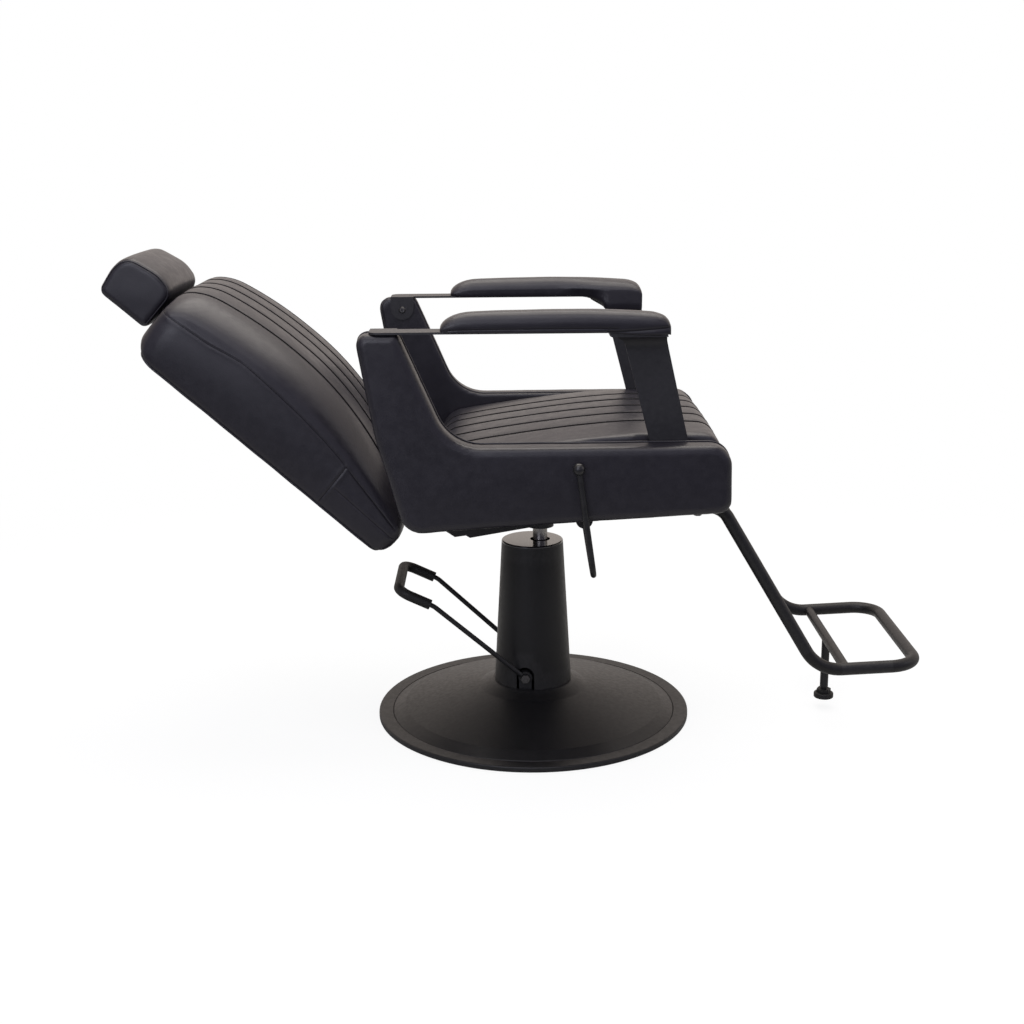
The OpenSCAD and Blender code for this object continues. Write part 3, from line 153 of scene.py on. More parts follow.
def surface(name, base, rough, kind, scale, depth, variation=0.25, patches=7.0, metallic=0.0,
            specular=0.5, coat=0.0, wear=0.0, wear_colour=(0.2, 0.2, 0.2)):
    """A procedural material: patchy colour and roughness, fine grain and worn edges."""
    made = bpy.data.materials.new(name)
    made.use_nodes = True
    tree = made.node_tree
    shader = tree.nodes["Principled BSDF"]
    place = node(tree, "TexCoord").outputs["Object"]
    broad = node(tree, "TexNoise",
                 {"Vector": place, "Scale": patches, "Detail": 4.0, "Roughness": 0.6})
    spots = node(tree, "TexNoise", {"Vector": place, "Scale": patches * 14, "Detail": 3.0})
    tone = mixed(tree, spread(tree, broad.outputs["Fac"], 0.3, 0.7),
                 colour(base, 1 - variation), colour(base, 1 + variation))
    tone = mixed(tree, spread(tree, spots.outputs["Fac"], 0.35, 0.75, 0.0, 0.5),
                 tone, colour(base, 1 + 1.6 * variation))
    if wear:
        point = node(tree, "NewGeometry").outputs["Pointiness"]
        edge = spread(tree, point, 0.505, 0.54, 0.0, wear)
        patch = node(tree, "Math", {0: edge, 1: spots.outputs["Fac"]},
                     operation="MULTIPLY").outputs[0]
        tone = mixed(tree, patch, tone, colour(wear_colour))
    tree.links.new(tone, shader.inputs["Base Color"])
    tree.links.new(spread(tree, spots.outputs["Fac"], 0.25, 0.75, rough * 0.88, rough * 1.1),
                   shader.inputs["Roughness"])
    bump = node(tree, "Bump", {"Height": grain_height(tree, place, kind, scale), "Strength": 1.0,
                               "Distance": depth})
    tree.links.new(bump.outputs[0], shader.inputs["Normal"])
    for socket, value in (("Metallic", metallic), ("Specular IOR Level", specular),
                          ("Coat Weight", coat), ("Coat Roughness", 0.12)):
        shader.inputs[socket].default_value = value
    return made


VINYL = surface("vinyl", (0.0125, 0.0112, 0.0162), 0.38, "pebble", 620, 0.00011, 0.12, 5.0,
                specular=0.42, wear=0.3, wear_colour=(0.026, 0.024, 0.027))
# Dark matte material of the cords that lie in the seam grooves: painted shade of the grooves
SEAM_SHADE = surface("seam_shadow", (0.0075, 0.0068, 0.0082), 0.62, "peel", 1800, 0.0001, 0.2, 30.0,
               specular=0.14)
THREAD = surface("thread", (0.016, 0.015, 0.017), 0.62, "peel", 2400, 0.0001, 0.3, 40.0,
                 specular=0.3)
POWDER = surface("powder_coat", (0.0062, 0.0060, 0.0068), 0.42, "peel", 520, 0.00007, 0.14, 9.0,
                 specular=0.30, wear=0.3, wear_colour=(0.045, 0.045, 0.047))
SATIN = surface("satin_coat", (0.0150, 0.0143, 0.0172), 0.46, "peel", 560, 0.00007, 0.14, 9.0,
                specular=0.40, wear=0.25, wear_colour=(0.05, 0.05, 0.052))
GLOSS = surface("gloss_coat", (0.0045, 0.0043, 0.0045), 0.16, "peel", 260, 0.00003, 0.2, 12.0,
                coat=0.6)
BRIGHT = surface("bright_steel", (0.30, 0.29, 0.28), 0.27, "brushed", 90, 0.00002, 0.12, 18.0,
                 metallic=1.0)
DARK_STEEL = surface("dark_steel", (0.055, 0.054, 0.056), 0.38, "peel", 900, 0.00003, 0.25, 25.0,
                     metallic=0.9, wear=0.5, wear_colour=(0.3, 0.29, 0.28))
RUBBER = surface("rubber", (0.0072, 0.0070, 0.0074), 0.58, "peel", 1500, 0.00009, 0.25, 30.0,
                 specular=0.32)
CAST = surface("cast_iron", (0.03, 0.03, 0.032), 0.55, "peel", 700, 0.00018, 0.3, 20.0,
               metallic=0.7)
PLYWOOD = surface("plywood", (0.105, 0.062, 0.034), 0.6, "wood", 26, 0.00012, 0.25, 11.0)
PLASTIC = surface("moulded_plastic", (0.0085, 0.0083, 0.0095), 0.3, "peel", 800, 0.00003,
                  0.15, 20.0, specular=0.45)

# Nodes that aren't named here have vinyl
FINISHES = {name: finish for finish, names in (
    (DARK_STEEL, "base_plate base_bolts pump_cylinder pump_rocker pedal_pivots hub_bolts "
                 "panel_bolts arm_screws stanchion_bolts footrest_bolts hinge_bolts back_bolts "
                 "gas_pin lever_shaft"),
    (POWDER, "base_cover pump_reservoir pump_cover pedal_rod mechanism_plates seat_rails "
             "seat_crossbars footrest_frame foot_post hinge_brackets hinge_arms recline_crank "
             "headrest_socket gas_cylinder lever_bracket lever_rod"),
    (CAST, "pump_foot pump_head swivel_hub"),
    (RUBBER, "wiper_seal pedal_grip foot_glide"),
    (GLOSS, "cover_cap"),
    (BRIGHT, "pump_plunger piston_rod piston_head swivel_bearing headrest_post gas_rod "
             "release_pin"),
    (PLYWOOD, "seat_board back_board headrest_board"),
    (SATIN, "arm_bar_left arm_bar_right stanchion_left stanchion_right"),
    (PLASTIC, "lever_knob"),
) for name in names.split()}


def dress_nodes():
    """Gives every CAD node its material."""
    for name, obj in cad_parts.items():
        finish = FINISHES.get(name, VINYL)
        if not obj.material_slots:
            obj.data.materials.append(finish)
        for place in obj.material_slots:
            place.material = finish


# ------------------------------------------------------------------ shapes in millimetres

def rounded(corners, steps=12):
    """Outline from corners [x, y, radius]."""
    out = []
    for i, (x, y, r) in enumerate(corners):
        p = np.array([x, y], float)
        u = np.array(corners[i - 1][:2], float) - p
        w = np.array(corners[(i + 1) % len(corners)][:2], float) - p
        u, w = u / np.linalg.norm(u), w / np.linalg.norm(w)
        half = math.acos(float(u @ w)) / 2
        centre = p + (u + w) / np.linalg.norm(u + w) * r / math.sin(half)
        a, b = p + u * r / math.tan(half) - centre, p + w * r / math.tan(half) - centre
        start = math.atan2(a[1], a[0])
        turn = (math.atan2(b[1], b[0]) - start + 3 * math.pi) % (2 * math.pi) - math.pi
        for k in range(steps + 1):
            angle = start + turn * k / steps
            out.append(centre + r * np.array([math.cos(angle), math.sin(angle)]))
    return np.array(out)


def evenly(points, step, closed=False):
    """Points along a polyline at an even distance."""
    pts = np.asarray(points, float)
    if closed:
        pts = np.vstack([pts, pts[:1]])
    run = np.concatenate([[0], np.cumsum(np.linalg.norm(np.diff(pts, axis=0), axis=1))])
    count = max(2, int(round(run[-1] / step)) + 1)
    at = np.linspace(0, run[-1], count)
    out = np.stack([np.interp(at, run, pts[:, k]) for k in range(pts.shape[1])], axis=1)
    return out[:-1] if closed else out


def inset(outline, d):
    """A closed outline moved inwards by d."""
    along = np.roll(outline, -1, 0) - np.roll(outline, 1, 0)
    along /= np.linalg.norm(along, axis=1)[:, None]
    return outline + d * np.stack([-along[:, 1], along[:, 0]], axis=1)


def in_back(points):
    """Points [t, y, s] of the back's own frame, in the chair's frame."""
    p = np.asarray(points, float)
    t, y, s = p[..., 0] - HINGE_T, p[..., 1], p[..., 2] + HINGE_S
    out = HINGE + t[..., None] * BACK_NORMAL + s[..., None] * BACK_UP
    out[..., 1] = y
    return out


def kept_ahead(co, rear):
    """Points moved forward, square to the back, until none is behind t = rear."""
    t = (co - HINGE) @ BACK_NORMAL + HINGE_T
    co += np.maximum(0, rear - t)[:, None] * BACK_NORMAL
    return co


def round_rise(q):
    """Height of a quarter-round edge of radius 1, at q of its width."""
    return math.sqrt(1 - (1 - q) ** 2)


def eased_step(x, start, end):
    """Smooth step from 0 at start to 1 at end."""
    q = min(1, max(0, (x - start) / (end - start)))
    return q * q * (3 - 2 * q)


def loft(name, rings):
    """Closed mesh over rings of equal length, in millimetres."""
    rings = [np.asarray(r, float) for r in rings]
    n = len(rings[0])
    verts = np.vstack(rings) * MM
    faces = [(j * n + i, j * n + (i + 1) % n, (j + 1) * n + (i + 1) % n, (j + 1) * n + i)
             for j in range(len(rings) - 1) for i in range(n)]
    last = (len(rings) - 1) * n
    faces += [tuple(range(n - 1, -1, -1)), tuple(range(last, last + n))]
    mesh = bpy.data.meshes.new(name)
    mesh.from_pydata([tuple(v) for v in verts], [], faces)
    work = bmesh.new()
    work.from_mesh(mesh)
    bmesh.ops.recalc_face_normals(work, faces=work.faces)
    work.to_mesh(mesh)
    work.free()
    obj = bpy.data.objects.new(name, mesh)
    SCENE.collection.objects.link(obj)
    return obj


def coords(mesh):
    """Places of a mesh's vertices."""
    co = np.zeros(len(mesh.vertices) * 3, np.float32)
    mesh.vertices.foreach_get("co", co)
    return co.reshape(-1, 3).astype(float)


def normals(mesh):
    """Normals of a mesh's vertices."""
    no = np.zeros(len(mesh.vertices) * 3, np.float32)
    mesh.vertices.foreach_get("normal", no)
    return no.reshape(-1, 3).astype(float)


def set_coords(mesh, co):
    """Moves a mesh's vertices to new places."""
    mesh.vertices.foreach_set("co", np.asarray(co, np.float32).ravel())
    mesh.update()


def baked(obj, kind, **props):
    """Adds a modifier and keeps its result as the object's mesh."""
    mod = obj.modifiers.new(kind, kind)
    for key, value in props.items():
        setattr(mod, key, value)
    made = bpy.data.meshes.new_from_object(obj.evaluated_get(bpy.context.evaluated_depsgraph_get()))
    old = obj.data
    obj.modifiers.clear()
    obj.data = made
    bpy.data.meshes.remove(old)


def smoothed(mesh, field, rounds):
    """A field over the vertices, averaged with its neighbours again and again."""
    ends = np.zeros(len(mesh.edges) * 2, np.int32)
    mesh.edges.foreach_get("vertices", ends)
    a, b = ends[::2], ends[1::2]
    here, there = np.concatenate([a, b]), np.concatenate([b, a])
    count = np.maximum(np.bincount(here, minlength=len(field)), 1)
    for _ in range(rounds):
        around = np.stack([np.bincount(here, field[there, k], len(field)) / count
                           for k in range(3)], axis=1)
        field = 0.35 * field + 0.65 * around
    return field


def inflate(obj, cap, pressure=4.0, frames=16, rounds=40):
    """Blows the skin up as cloth under pressure, evens the move out, and keeps it within cap mm."""
    rest = coords(obj.data)
    mod = obj.modifiers.new("cloth", "CLOTH")
    mod.settings.use_pressure = True
    mod.settings.uniform_pressure_force = pressure
    mod.settings.effector_weights.gravity = 0
    mod.settings.quality = 4
    mod.point_cache.frame_start = 1
    mod.point_cache.frame_end = frames
    for f in range(1, frames + 1):
        SCENE.frame_set(f)
    blown = coords(obj.evaluated_get(bpy.context.evaluated_depsgraph_get()).data)
    obj.modifiers.clear()
    SCENE.frame_set(1)
    move = smoothed(obj.data, blown - rest, rounds)
    length = np.linalg.norm(move, axis=1)
    longest = np.percentile(length, 98)
    set_coords(obj.data, rest + move * min(1.0, cap * MM / max(longest, 1e-9)))


def near_path(co, path, reach):
    """For each point within reach of the path: its index and its distance."""
    low, high = path.min(0) - reach, path.max(0) + reach
    inside = np.flatnonzero(((co > low) & (co < high)).all(1))
    best = np.full(len(inside), 1e9)
    for k in range(0, len(inside), 4000):
        part = co[inside[k:k + 4000]]
        d = ((part[:, None, :] - path[None, :, :]) ** 2).sum(2)
        best[k:k + 4000] = np.sqrt(d.min(1))
    close = best < reach
    return inside[close], best[close]


def skin_tree(obj):
    """A tree that finds the nearest place on the object's surface."""
    work = bmesh.new()
    work.from_mesh(obj.data)
    tree = BVHTree.FromBMesh(work)
    work.free()
    return tree


def onto(tree, path, step=2.0):
    """A path in millimetres laid on a surface: its points and the surface's normals, in metres."""
    points, faces = [], []
    for p in evenly(path, step) * MM:
        at, normal, _, _ = tree.find_nearest(Vector(p))
        points.append(at)
        faces.append(normal)
    return np.array(points), np.array(faces)


def carve(obj, lines):
    """Presses seams into the surface. Each is (path, depth, width); below 0 it stands proud."""
    tree = skin_tree(obj)
    co, no = coords(obj.data), normals(obj.data)
    push = np.zeros(len(co))
    for path, depth, width in lines:
        laid, _ = onto(tree, path, 1.5 if width < 5 else 4)
        index, distance = near_path(co, laid, 2.6 * width * MM)
        push[index] += depth * MM * np.exp(-(distance / (width * MM)) ** 1.5)
    set_coords(obj.data, co - no * push[:, None])


def eased(values, closed=False, reach=3):
    """Running mean along a line."""
    if closed:
        return sum(np.roll(values, k, 0) for k in range(-reach, reach + 1)) / (2 * reach + 1)
    wide = np.concatenate([values[:1]] * reach + [values] + [values[-1:]] * reach)
    out = sum(wide[k:k + len(values)] for k in range(2 * reach + 1)) / (2 * reach + 1)
    out[0], out[-1] = values[0], values[-1]
    return out


def strand(tree, path, lift=0.0, step=3.0, closed=False):
    """A smooth line on the skin, lift millimetres above it: its points and its normals."""
    points, faces = onto(tree, path, step)
    faces = eased(eased(faces, closed), closed)
    faces /= np.maximum(np.linalg.norm(faces, axis=1), 1e-9)[:, None]
    points = eased(points, closed, 2)
    return points + faces * lift * MM, faces


def tube_mesh(name, paths, radius, sides=8, closed=False):
    """One mesh of tubes along paths of (points, normals), in metres."""
    verts, faces = [], []
    for points, nrm in paths:
        n = len(points)
        along = np.roll(points, -1, 0) - np.roll(points, 1, 0)
        if not closed:
            along[0], along[-1] = points[1] - points[0], points[-1] - points[-2]
        along /= np.maximum(np.linalg.norm(along, axis=1), 1e-9)[:, None]
        side = np.cross(along, nrm)
        side /= np.maximum(np.linalg.norm(side, axis=1), 1e-9)[:, None]
        up = np.cross(side, along)
        first = len(verts)
        for i in range(n):
            small = 1.0 if closed else min(1.0, 0.35 + 0.65 * min(i, n - 1 - i) / 2)
            for k in range(sides):
                a = 2 * math.pi * k / sides
                spoke = math.cos(a) * side[i] + math.sin(a) * up[i]
                verts.append(points[i] + radius * MM * small * spoke)
        for i in range(n if closed else n - 1):
            here, there = first + i * sides, first + (i + 1) % n * sides
            for k in range(sides):
                m = (k + 1) % sides
                faces.append((here + k, here + m, there + m, there + k))
        if not closed:
            faces.append(tuple(first + k for k in range(sides - 1, -1, -1)))
            faces.append(tuple(first + (n - 1) * sides + k for k in range(sides)))
    mesh = bpy.data.meshes.new(name)
    mesh.from_pydata([tuple(v) for v in verts], [], faces)
    mesh.polygons.foreach_set("use_smooth", [True] * len(mesh.polygons))
    obj = bpy.data.objects.new(name, mesh)
    SCENE.collection.objects.link(obj)
    return obj


def cords(name, tree, lines, body, radius, material=SEAM_SHADE, closed=False):
    """Tubes along lines on the skin: with the default material, dark cords that are painted shade
    in the seam grooves; with vinyl, piping. Each line is (path, lift).
    """
    paths = [strand(tree, path, lift, closed=closed) for path, lift in lines]
    finished(tube_mesh(name, paths, radius, 8, closed), material, body)


def stitches(name, tree, lines, body, pitch=5.0, length=3.6, radius=0.5):
    """Thread stitches laid along lines on the skin, as one mesh. Each line is (path, lift)."""
    tubes = []
    for path, lift in lines:
        points, faces = strand(tree, path, lift, pitch)
        for i in range(len(points) - 1):
            a, b = points[i], points[i + 1]
            gap = np.linalg.norm(b - a)
            if gap < 1e-4:
                continue
            part = min(1, length * MM / gap)
            up = faces[i]
            at = [a + (b - a) * (0.5 + part * q) for q in (-0.5, -0.2, 0.2, 0.5)]
            rise = [-1.1 * radius, 0.35 * radius, 0.35 * radius, -1.1 * radius]
            tubes.append((np.array([p + up * r * MM for p, r in zip(at, rise)]),
                          np.array([up] * 4)))
    finished(tube_mesh(name, tubes, radius, 5), THREAD, body)


def finished(obj, material, body, replaced=()):
    """Shading, material and body of a piece; the nodes that a padded piece replaces are hidden."""
    obj.data.polygons.foreach_set("use_smooth", [True] * len(obj.data.polygons))
    obj.data.materials.clear()
    obj.data.materials.append(material)
    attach(obj, body)
    if replaced:
        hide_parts(*replaced)


def puff(obj, amount, scale, seed):
    """Slight unevenness of a stuffed skin, along its normals, in millimetres."""
    co, no = coords(obj.data), normals(obj.data)
    rng = np.random.default_rng(seed)
    total = np.zeros(len(co))
    for _ in range(7):
        k = rng.normal(size=3) / (scale * MM) * 2.2
        total += np.sin(co @ k + rng.uniform(0, 6.28))
    set_coords(obj.data, co + no * (amount * MM * total / 7 ** 0.5)[:, None])


def upholster(name, rings, body, replaced, cap, voxel=5.0, levels=1, hold=None, seams=(),
              wave=0.2, seed=1, rounds=40):
    """A padded piece: skin over its rings, remeshed, blown up, held where it rests, and sewn.

    Sizes are in millimetres. Returns the skin as it was before the sewing, for cords and stitches
    to lie on.
    """
    obj = loft(name, rings)
    baked(obj, "REMESH", mode="VOXEL", voxel_size=voxel * MM, use_smooth_shade=True)
    inflate(obj, cap, rounds=rounds)
    if hold:
        set_coords(obj.data, hold(coords(obj.data) / MM) * MM)
    baked(obj, "SUBSURF", levels=levels, render_levels=levels)
    puff(obj, wave, 60, seed)
    tree = skin_tree(obj)
    carve(obj, seams)
    finished(obj, VINYL, body, replaced)
    return tree


# ------------------------------------------------------------------ seat

def seat_line(x):
    """Height of the seat's edge at x: a crest, falling to the rear, with both ends rounded."""
    rear_r, front_r, rear_fall, front_fall = 40, 36, 47, 4
    back = max(0, CREST_X - x) / (CREST_X - SEAT_REAR)
    ahead = max(0, x - CREST_X) / (SEAT_FRONT - CREST_X)
    rear = min(rear_r, max(0, SEAT_REAR + rear_r - x))
    front = min(front_r, max(0, x - SEAT_FRONT + front_r))
    return (SEAT_CREST - rear_fall * back ** 1.4 - front_fall * ahead ** 3
            - (rear_r - math.sqrt(rear_r ** 2 - rear * rear))
            - (front_r - math.sqrt(front_r ** 2 - front * front)))


def seat_section(x, shrink=2.5):
    """Section of the seat at x, narrower beside the stanchions."""
    dent = STANCHION_DENT * math.sqrt(max(0, 1 - ((x - STANCHION_X) / STANCHION_REACH) ** 2))
    half, top = SEAT_HALF - dent - shrink, seat_line(x) - shrink * 0.6
    base = BOARD_TOP + 0.5
    soft = min(9, (top - base) * 0.45)
    out = [(y, base) for y in np.linspace(-half + 6, half - 6, 30)]
    out += [(half - 6 + 6 * math.sin(a), base + 6 - 6 * math.cos(a))
            for a in np.linspace(0.3, 1.5, 4)]
    out += [(half, z) for z in np.linspace(base + 8, top - soft, 8)]
    edge = half - soft
    out += [(edge + soft * math.cos(a), top - soft + soft * math.sin(a))
            for a in np.linspace(0.2, 1.4, 6)]
    out += [(y, top + SEAT_CROWN * (1 - (y / edge) ** 2)) for y in np.linspace(edge, -edge, 60)]
    out += [(-edge - soft * math.cos(a), top - soft + soft * math.sin(a))
            for a in np.linspace(1.4, 0.2, 6)]
    out += [(-half, z) for z in np.linspace(top - soft, base + 8, 8)]
    out += [(-half + 6 - 6 * math.sin(a), base + 6 - 6 * math.cos(a))
            for a in np.linspace(1.5, 0.3, 4)]
    return [(x, y, z) for y, z in out]


def seat_path(y, low=560):
    """A channel's seam: along the seat's top at y, and down its front to low."""
    top = [(x, y, seat_line(x) + SEAT_CROWN * (1 - (y / 240) ** 2))
           for x in np.linspace(SEAT_REAR + 6, SEAT_FRONT - 1, 60)]
    return top + [(SEAT_FRONT, y, z) for z in np.linspace(seat_line(SEAT_FRONT - 1) - 4, low, 6)]


def make_seat():
    """The seat cushion with its channels, hem and stitching."""
    hem_z, hem_half, rest, sole = 556, 250, BOARD_TOP + 0.4, 5
    xs = np.concatenate([SEAT_REAR + np.array([1, 3, 6, 10, 16, 24]), np.linspace(-155, 318, 60),
                         SEAT_FRONT - np.array([30, 24, 18, 12, 8, 5, 3, 1.0, 0])])
    channels = [seat_path((i - CHANNELS // 2) * PITCH) for i in range(CHANNELS)]
    hem = [(SEAT_FRONT + 2, y, hem_z) for y in np.linspace(-hem_half, hem_half, 60)]

    def hold(co):
        # The sole lies flat on the board, and the sides clear the panels
        co[:, 2] = np.maximum(co[:, 2], rest)
        co[:, 1] = np.clip(co[:, 1], -PANEL_IN + 0.6, PANEL_IN - 0.6)
        flat = co[:, 2] < BOARD_TOP + sole
        co[flat, 2] = rest + (co[flat, 2] - rest) * 0.5
        return co

    seams = ([(c, 2.2, CHANNEL_GROOVE) for c in channels]
             + [(c, 1.2, CHANNEL_VALLEY) for c in channels] + [(hem, 2.4, 2.4)])
    tree = upholster("seat_cushion_cover", [seat_section(x) for x in xs], "seat", ["seat_cushion"],
                     4, voxel=7.0, levels=2, hold=hold, seams=seams, seed=3)
    # Dark cords in the channel and hem grooves: painted shade of the grooves
    cords("seat_seam_shade", tree, [(c, CHANNEL_LIFT) for c in channels] + [(hem, -1.2)], "seat",
          CHANNEL_SHADE_CORD)
    stitches("seat_stitching", tree,
             [([(SEAT_FRONT + 2, y, z) for y in np.linspace(-248, 248, 60)], -0.2)
              for z in (551, 561)], "seat")


# ------------------------------------------------------------------ back

def back_line(s):
    """Depth of the back's front at s: thin at the foot, fullest at 0.6, rounded at the top."""
    foot, full_at, top_r, top_fall = 72, 0.6, 62, 34
    f = max(0, s) / BACK_LEN
    top = min(top_r, max(0, s - BACK_LEN + top_r))
    rise = min(1, math.sin(math.pi / 2 * min(1, f / full_at)) ** 0.75)
    taper = 1 - 0.28 * (max(0, f - full_at) / (1 - full_at)) ** 2.2
    return (foot + (BACK_T - foot) * rise * taper
            - top_fall * (1 - math.sqrt(1 - (top / (top_r + 2)) ** 2)))


def back_seam(s):
    """Depth of the seam between the back's front and its side at s."""
    foot, swell, full_at = 56, 62, 0.62
    f = max(0, s) / BACK_LEN
    rise = math.sin(math.pi / 2 * min(1, f / full_at)) ** 0.8
    return foot + swell * rise * (1 - 0.4 * (max(0, f - full_at) / (1 - full_at)) ** 1.6)


def back_rear(s):
    """Depth of the back's rear face at s, rounded at both ends."""
    low, high = min(1, (s + 3) / 37), min(1, (BACK_LEN - s) / 54)
    return 30 * (1 - round_rise(low)) + 42 * (1 - round_rise(high)) - BACK_SAG


def back_crown(seam, front, q):
    """Depth of the crown at q of half the width: steep at the seams, nearly flat between."""
    return seam + (front - seam) * (1 - q ** 4.2) ** 0.62


def back_section(s, shrink=1.5):
    """Section of the back at s, in its own frame."""
    edge, bulge = 12, 3.5
    low, high = min(1, (s + 3) / 26), min(1, (BACK_LEN - s) / 48)
    narrow = 20 * (1 - round_rise(low)) + 26 * (1 - round_rise(high))
    half = BACK_HALF - narrow - shrink
    rear = back_rear(s)
    front = back_line(s) - shrink - BACK_FLAT
    seam = min(back_seam(s), front - 10)
    out = [(rear, y) for y in np.linspace(half - edge, -half + edge, 50)]
    side = [(rear + edge - edge * math.cos(a), half - edge + edge * math.sin(a))
            for a in np.linspace(0.15, 1.42, 6)]
    side += [(rear + edge + (seam - rear - edge) * q, half + bulge * math.sin(math.pi * q))
             for q in np.linspace(0.08, 1, 14)]
    out += [(t, -y) for t, y in side]
    ys = np.concatenate([[-half + 1], -half + np.array([3, 6, 10, 15, 21, 28]),
                         np.linspace(-half + 36, half - 36, 50),
                         half - np.array([28, 21, 15, 10, 6, 3, 1])])
    out += [(back_crown(seam, front, abs(y) / half), y) for y in ys]
    out += side[::-1]
    return [(t, y, s) for t, y in out]


def back_front(s, y):
    """Depth of the back's front at s and y."""
    front = back_line(s) - BACK_FLAT
    return back_crown(min(back_seam(s), front - 10), front, min(0.999, abs(y) / BACK_HALF))


# The seam down the back's side, as [t, s]
SIDE_SEAM = [(95, 586), (97, 572), (98.5, 556), (103.5, 499), (112, 460), (117.5, 429), (117, 400),
             (115, 360), (110.5, 290), (103, 226), (96, 185), (91.5, 164), (85, 140), (74, 90),
             (64, 45), (57, 15)]


def side_path(points, side):
    """A line [t, s] laid on one side of the back."""
    fine = evenly(points, 6)
    return [(t, side * (BACK_HALF - 0.5), s) for t, s in fine]


def shifted(points, d):
    """A side path moved by d across itself."""
    pts = evenly(points, 6)
    along = np.gradient(pts, axis=0)
    along /= np.linalg.norm(along, axis=1)[:, None]
    return pts + d * np.stack([-along[:, 1], along[:, 0]], axis=1)


def make_back():
    """The back cushion with its channels, side seams, low panels and rear piping."""
    cross_s, welt_s, low_t = 160, 152, (46, 40)
    ss = np.concatenate([np.array([-2.7, -1.4, 0.5, 3, 6, 10, 15, 21, 28]),
                         np.linspace(36, 540, 80),
                         BACK_LEN - np.array([56, 50, 44, 38, 32, 26, 20, 15, 10, 7, 4, 2, 0.6])])
    channels = []
    for i in range(CHANNELS):
        y = (i - CHANNELS // 2) * PITCH
        over = [(t, y, BACK_LEN - 2) for t in (48, 60, 80, 100)]
        over += [(back_front(s, y), y, s) for s in np.linspace(BACK_LEN - 4, 60, 90)]
        channels.append(in_back(over))
    seams = [(c, 2.0, CHANNEL_GROOVE) for c in channels]
    seams += [(c, 1.2, CHANNEL_VALLEY) for c in channels]
    # fine gathers the lines of the dark seam cords, which are painted shade in the grooves; threads
    # gathers the stitch lines
    fine, threads = [], []
    half, top_t = BACK_HALF - 14, 95
    top_seam = in_back([(top_t, -BACK_HALF + 3, 590), (top_t, -BACK_HALF + 7, 598)]
                       + [(top_t, y, BACK_LEN) for y in np.linspace(-half, half, 60)]
                       + [(top_t, BACK_HALF - 7, 598), (top_t, BACK_HALF - 3, 590)])
    seams += [(top_seam, 2.0, 2.0), (top_seam, -1.2, 6.0)]
    fine.append((top_seam, -0.6))
    for side in (-1, 1):
        main = in_back(side_path(SIDE_SEAM, side))
        seams += [(main, 2.2, 2.0), (main, -1.3, 6.0)]
        fine.append((main, -0.6))
        threads += [(in_back(side_path(shifted(SIDE_SEAM, d), side)), 0.5) for d in (-4.0, 4.0)]
        cross = in_back([(t, side * BACK_HALF, cross_s + 0.02 * t) for t in np.linspace(2, 90, 18)])
        welt = in_back([(t, side * BACK_HALF, welt_s + 0.02 * t) for t in np.linspace(2, 86, 18)])
        drop = list(zip(np.linspace(welt_s, 0, 26), np.linspace(*low_t, 26)))
        low = [in_back([(t + k, side * BACK_HALF, s) for s, t in drop]) for k in (0, 8)]
        seams += [(cross, 2.2, 2.0), (cross, -1.2, 6.0), (low[0], 2.0, 2.0), (low[0], -1.0, 6.0)]
        fine += [(cross, -0.8), (low[0], -0.8)]
        threads += [(welt, 0.3), (low[1], 0.3)]
    rim = in_back(rear_rim())

    def hold(co):
        # The rear face stays flat and the sides clear the panels
        co = kept_ahead(co, -BACK_SAG - 1)
        co[:, 1] = np.clip(co[:, 1], -BACK_HALF - 5, BACK_HALF + 5)
        return co

    tree = upholster("back_cushion_cover", [in_back(back_section(s)) for s in ss], "back",
                     ["back_cushion", "back_cover"], 4, voxel=7.0, levels=2, hold=hold,
                     seams=seams + [(rim, 1.6, 2.4)], seed=5, rounds=60)
    # Dark cords in the channel grooves: painted shade of the grooves
    cords("back_channel_seam_shade", tree, [(c, CHANNEL_LIFT) for c in channels], "back", CHANNEL_SHADE_CORD)
    # Dark cords in the top, side, cross and low seam grooves: painted shade of the grooves
    cords("back_side_seam_shade", tree, fine, "back", 0.6)
    stitches("back_stitching", tree, threads, "back")
    cords("back_rear_piping", tree, [(rim, 0.2)], "back", 2.3, VINYL, True)


def rear_rim():
    """Outline of the back's rear face, just inside its rounded edge."""
    flat = rounded([(-BACK_HALF + 7, 8, 30), (BACK_HALF - 7, 8, 30),
                    (BACK_HALF - 7, BACK_LEN - 12, 30), (-BACK_HALF + 7, BACK_LEN - 12, 30)], 8)
    return [(3 - BACK_SAG, y, s) for y, s in evenly(flat, 6, True)]


# ------------------------------------------------------------------ headrest

def head_outline(shrink):
    """The headrest's D-shaped outline [t, s], moved inwards by shrink."""
    top = HEAD_S + HEAD_LEN
    line = rounded([(HEAD_X - 4, HEAD_S - 2, 12), (110, HEAD_S - 2, 28), (121.5, HEAD_S + 42, 70),
                    (107.5, top + 1, 36), (66, top + 5, 60), (HEAD_X - 5, top - 2, 17)], 10)
    return inset(evenly(line, 3.0, True), shrink)


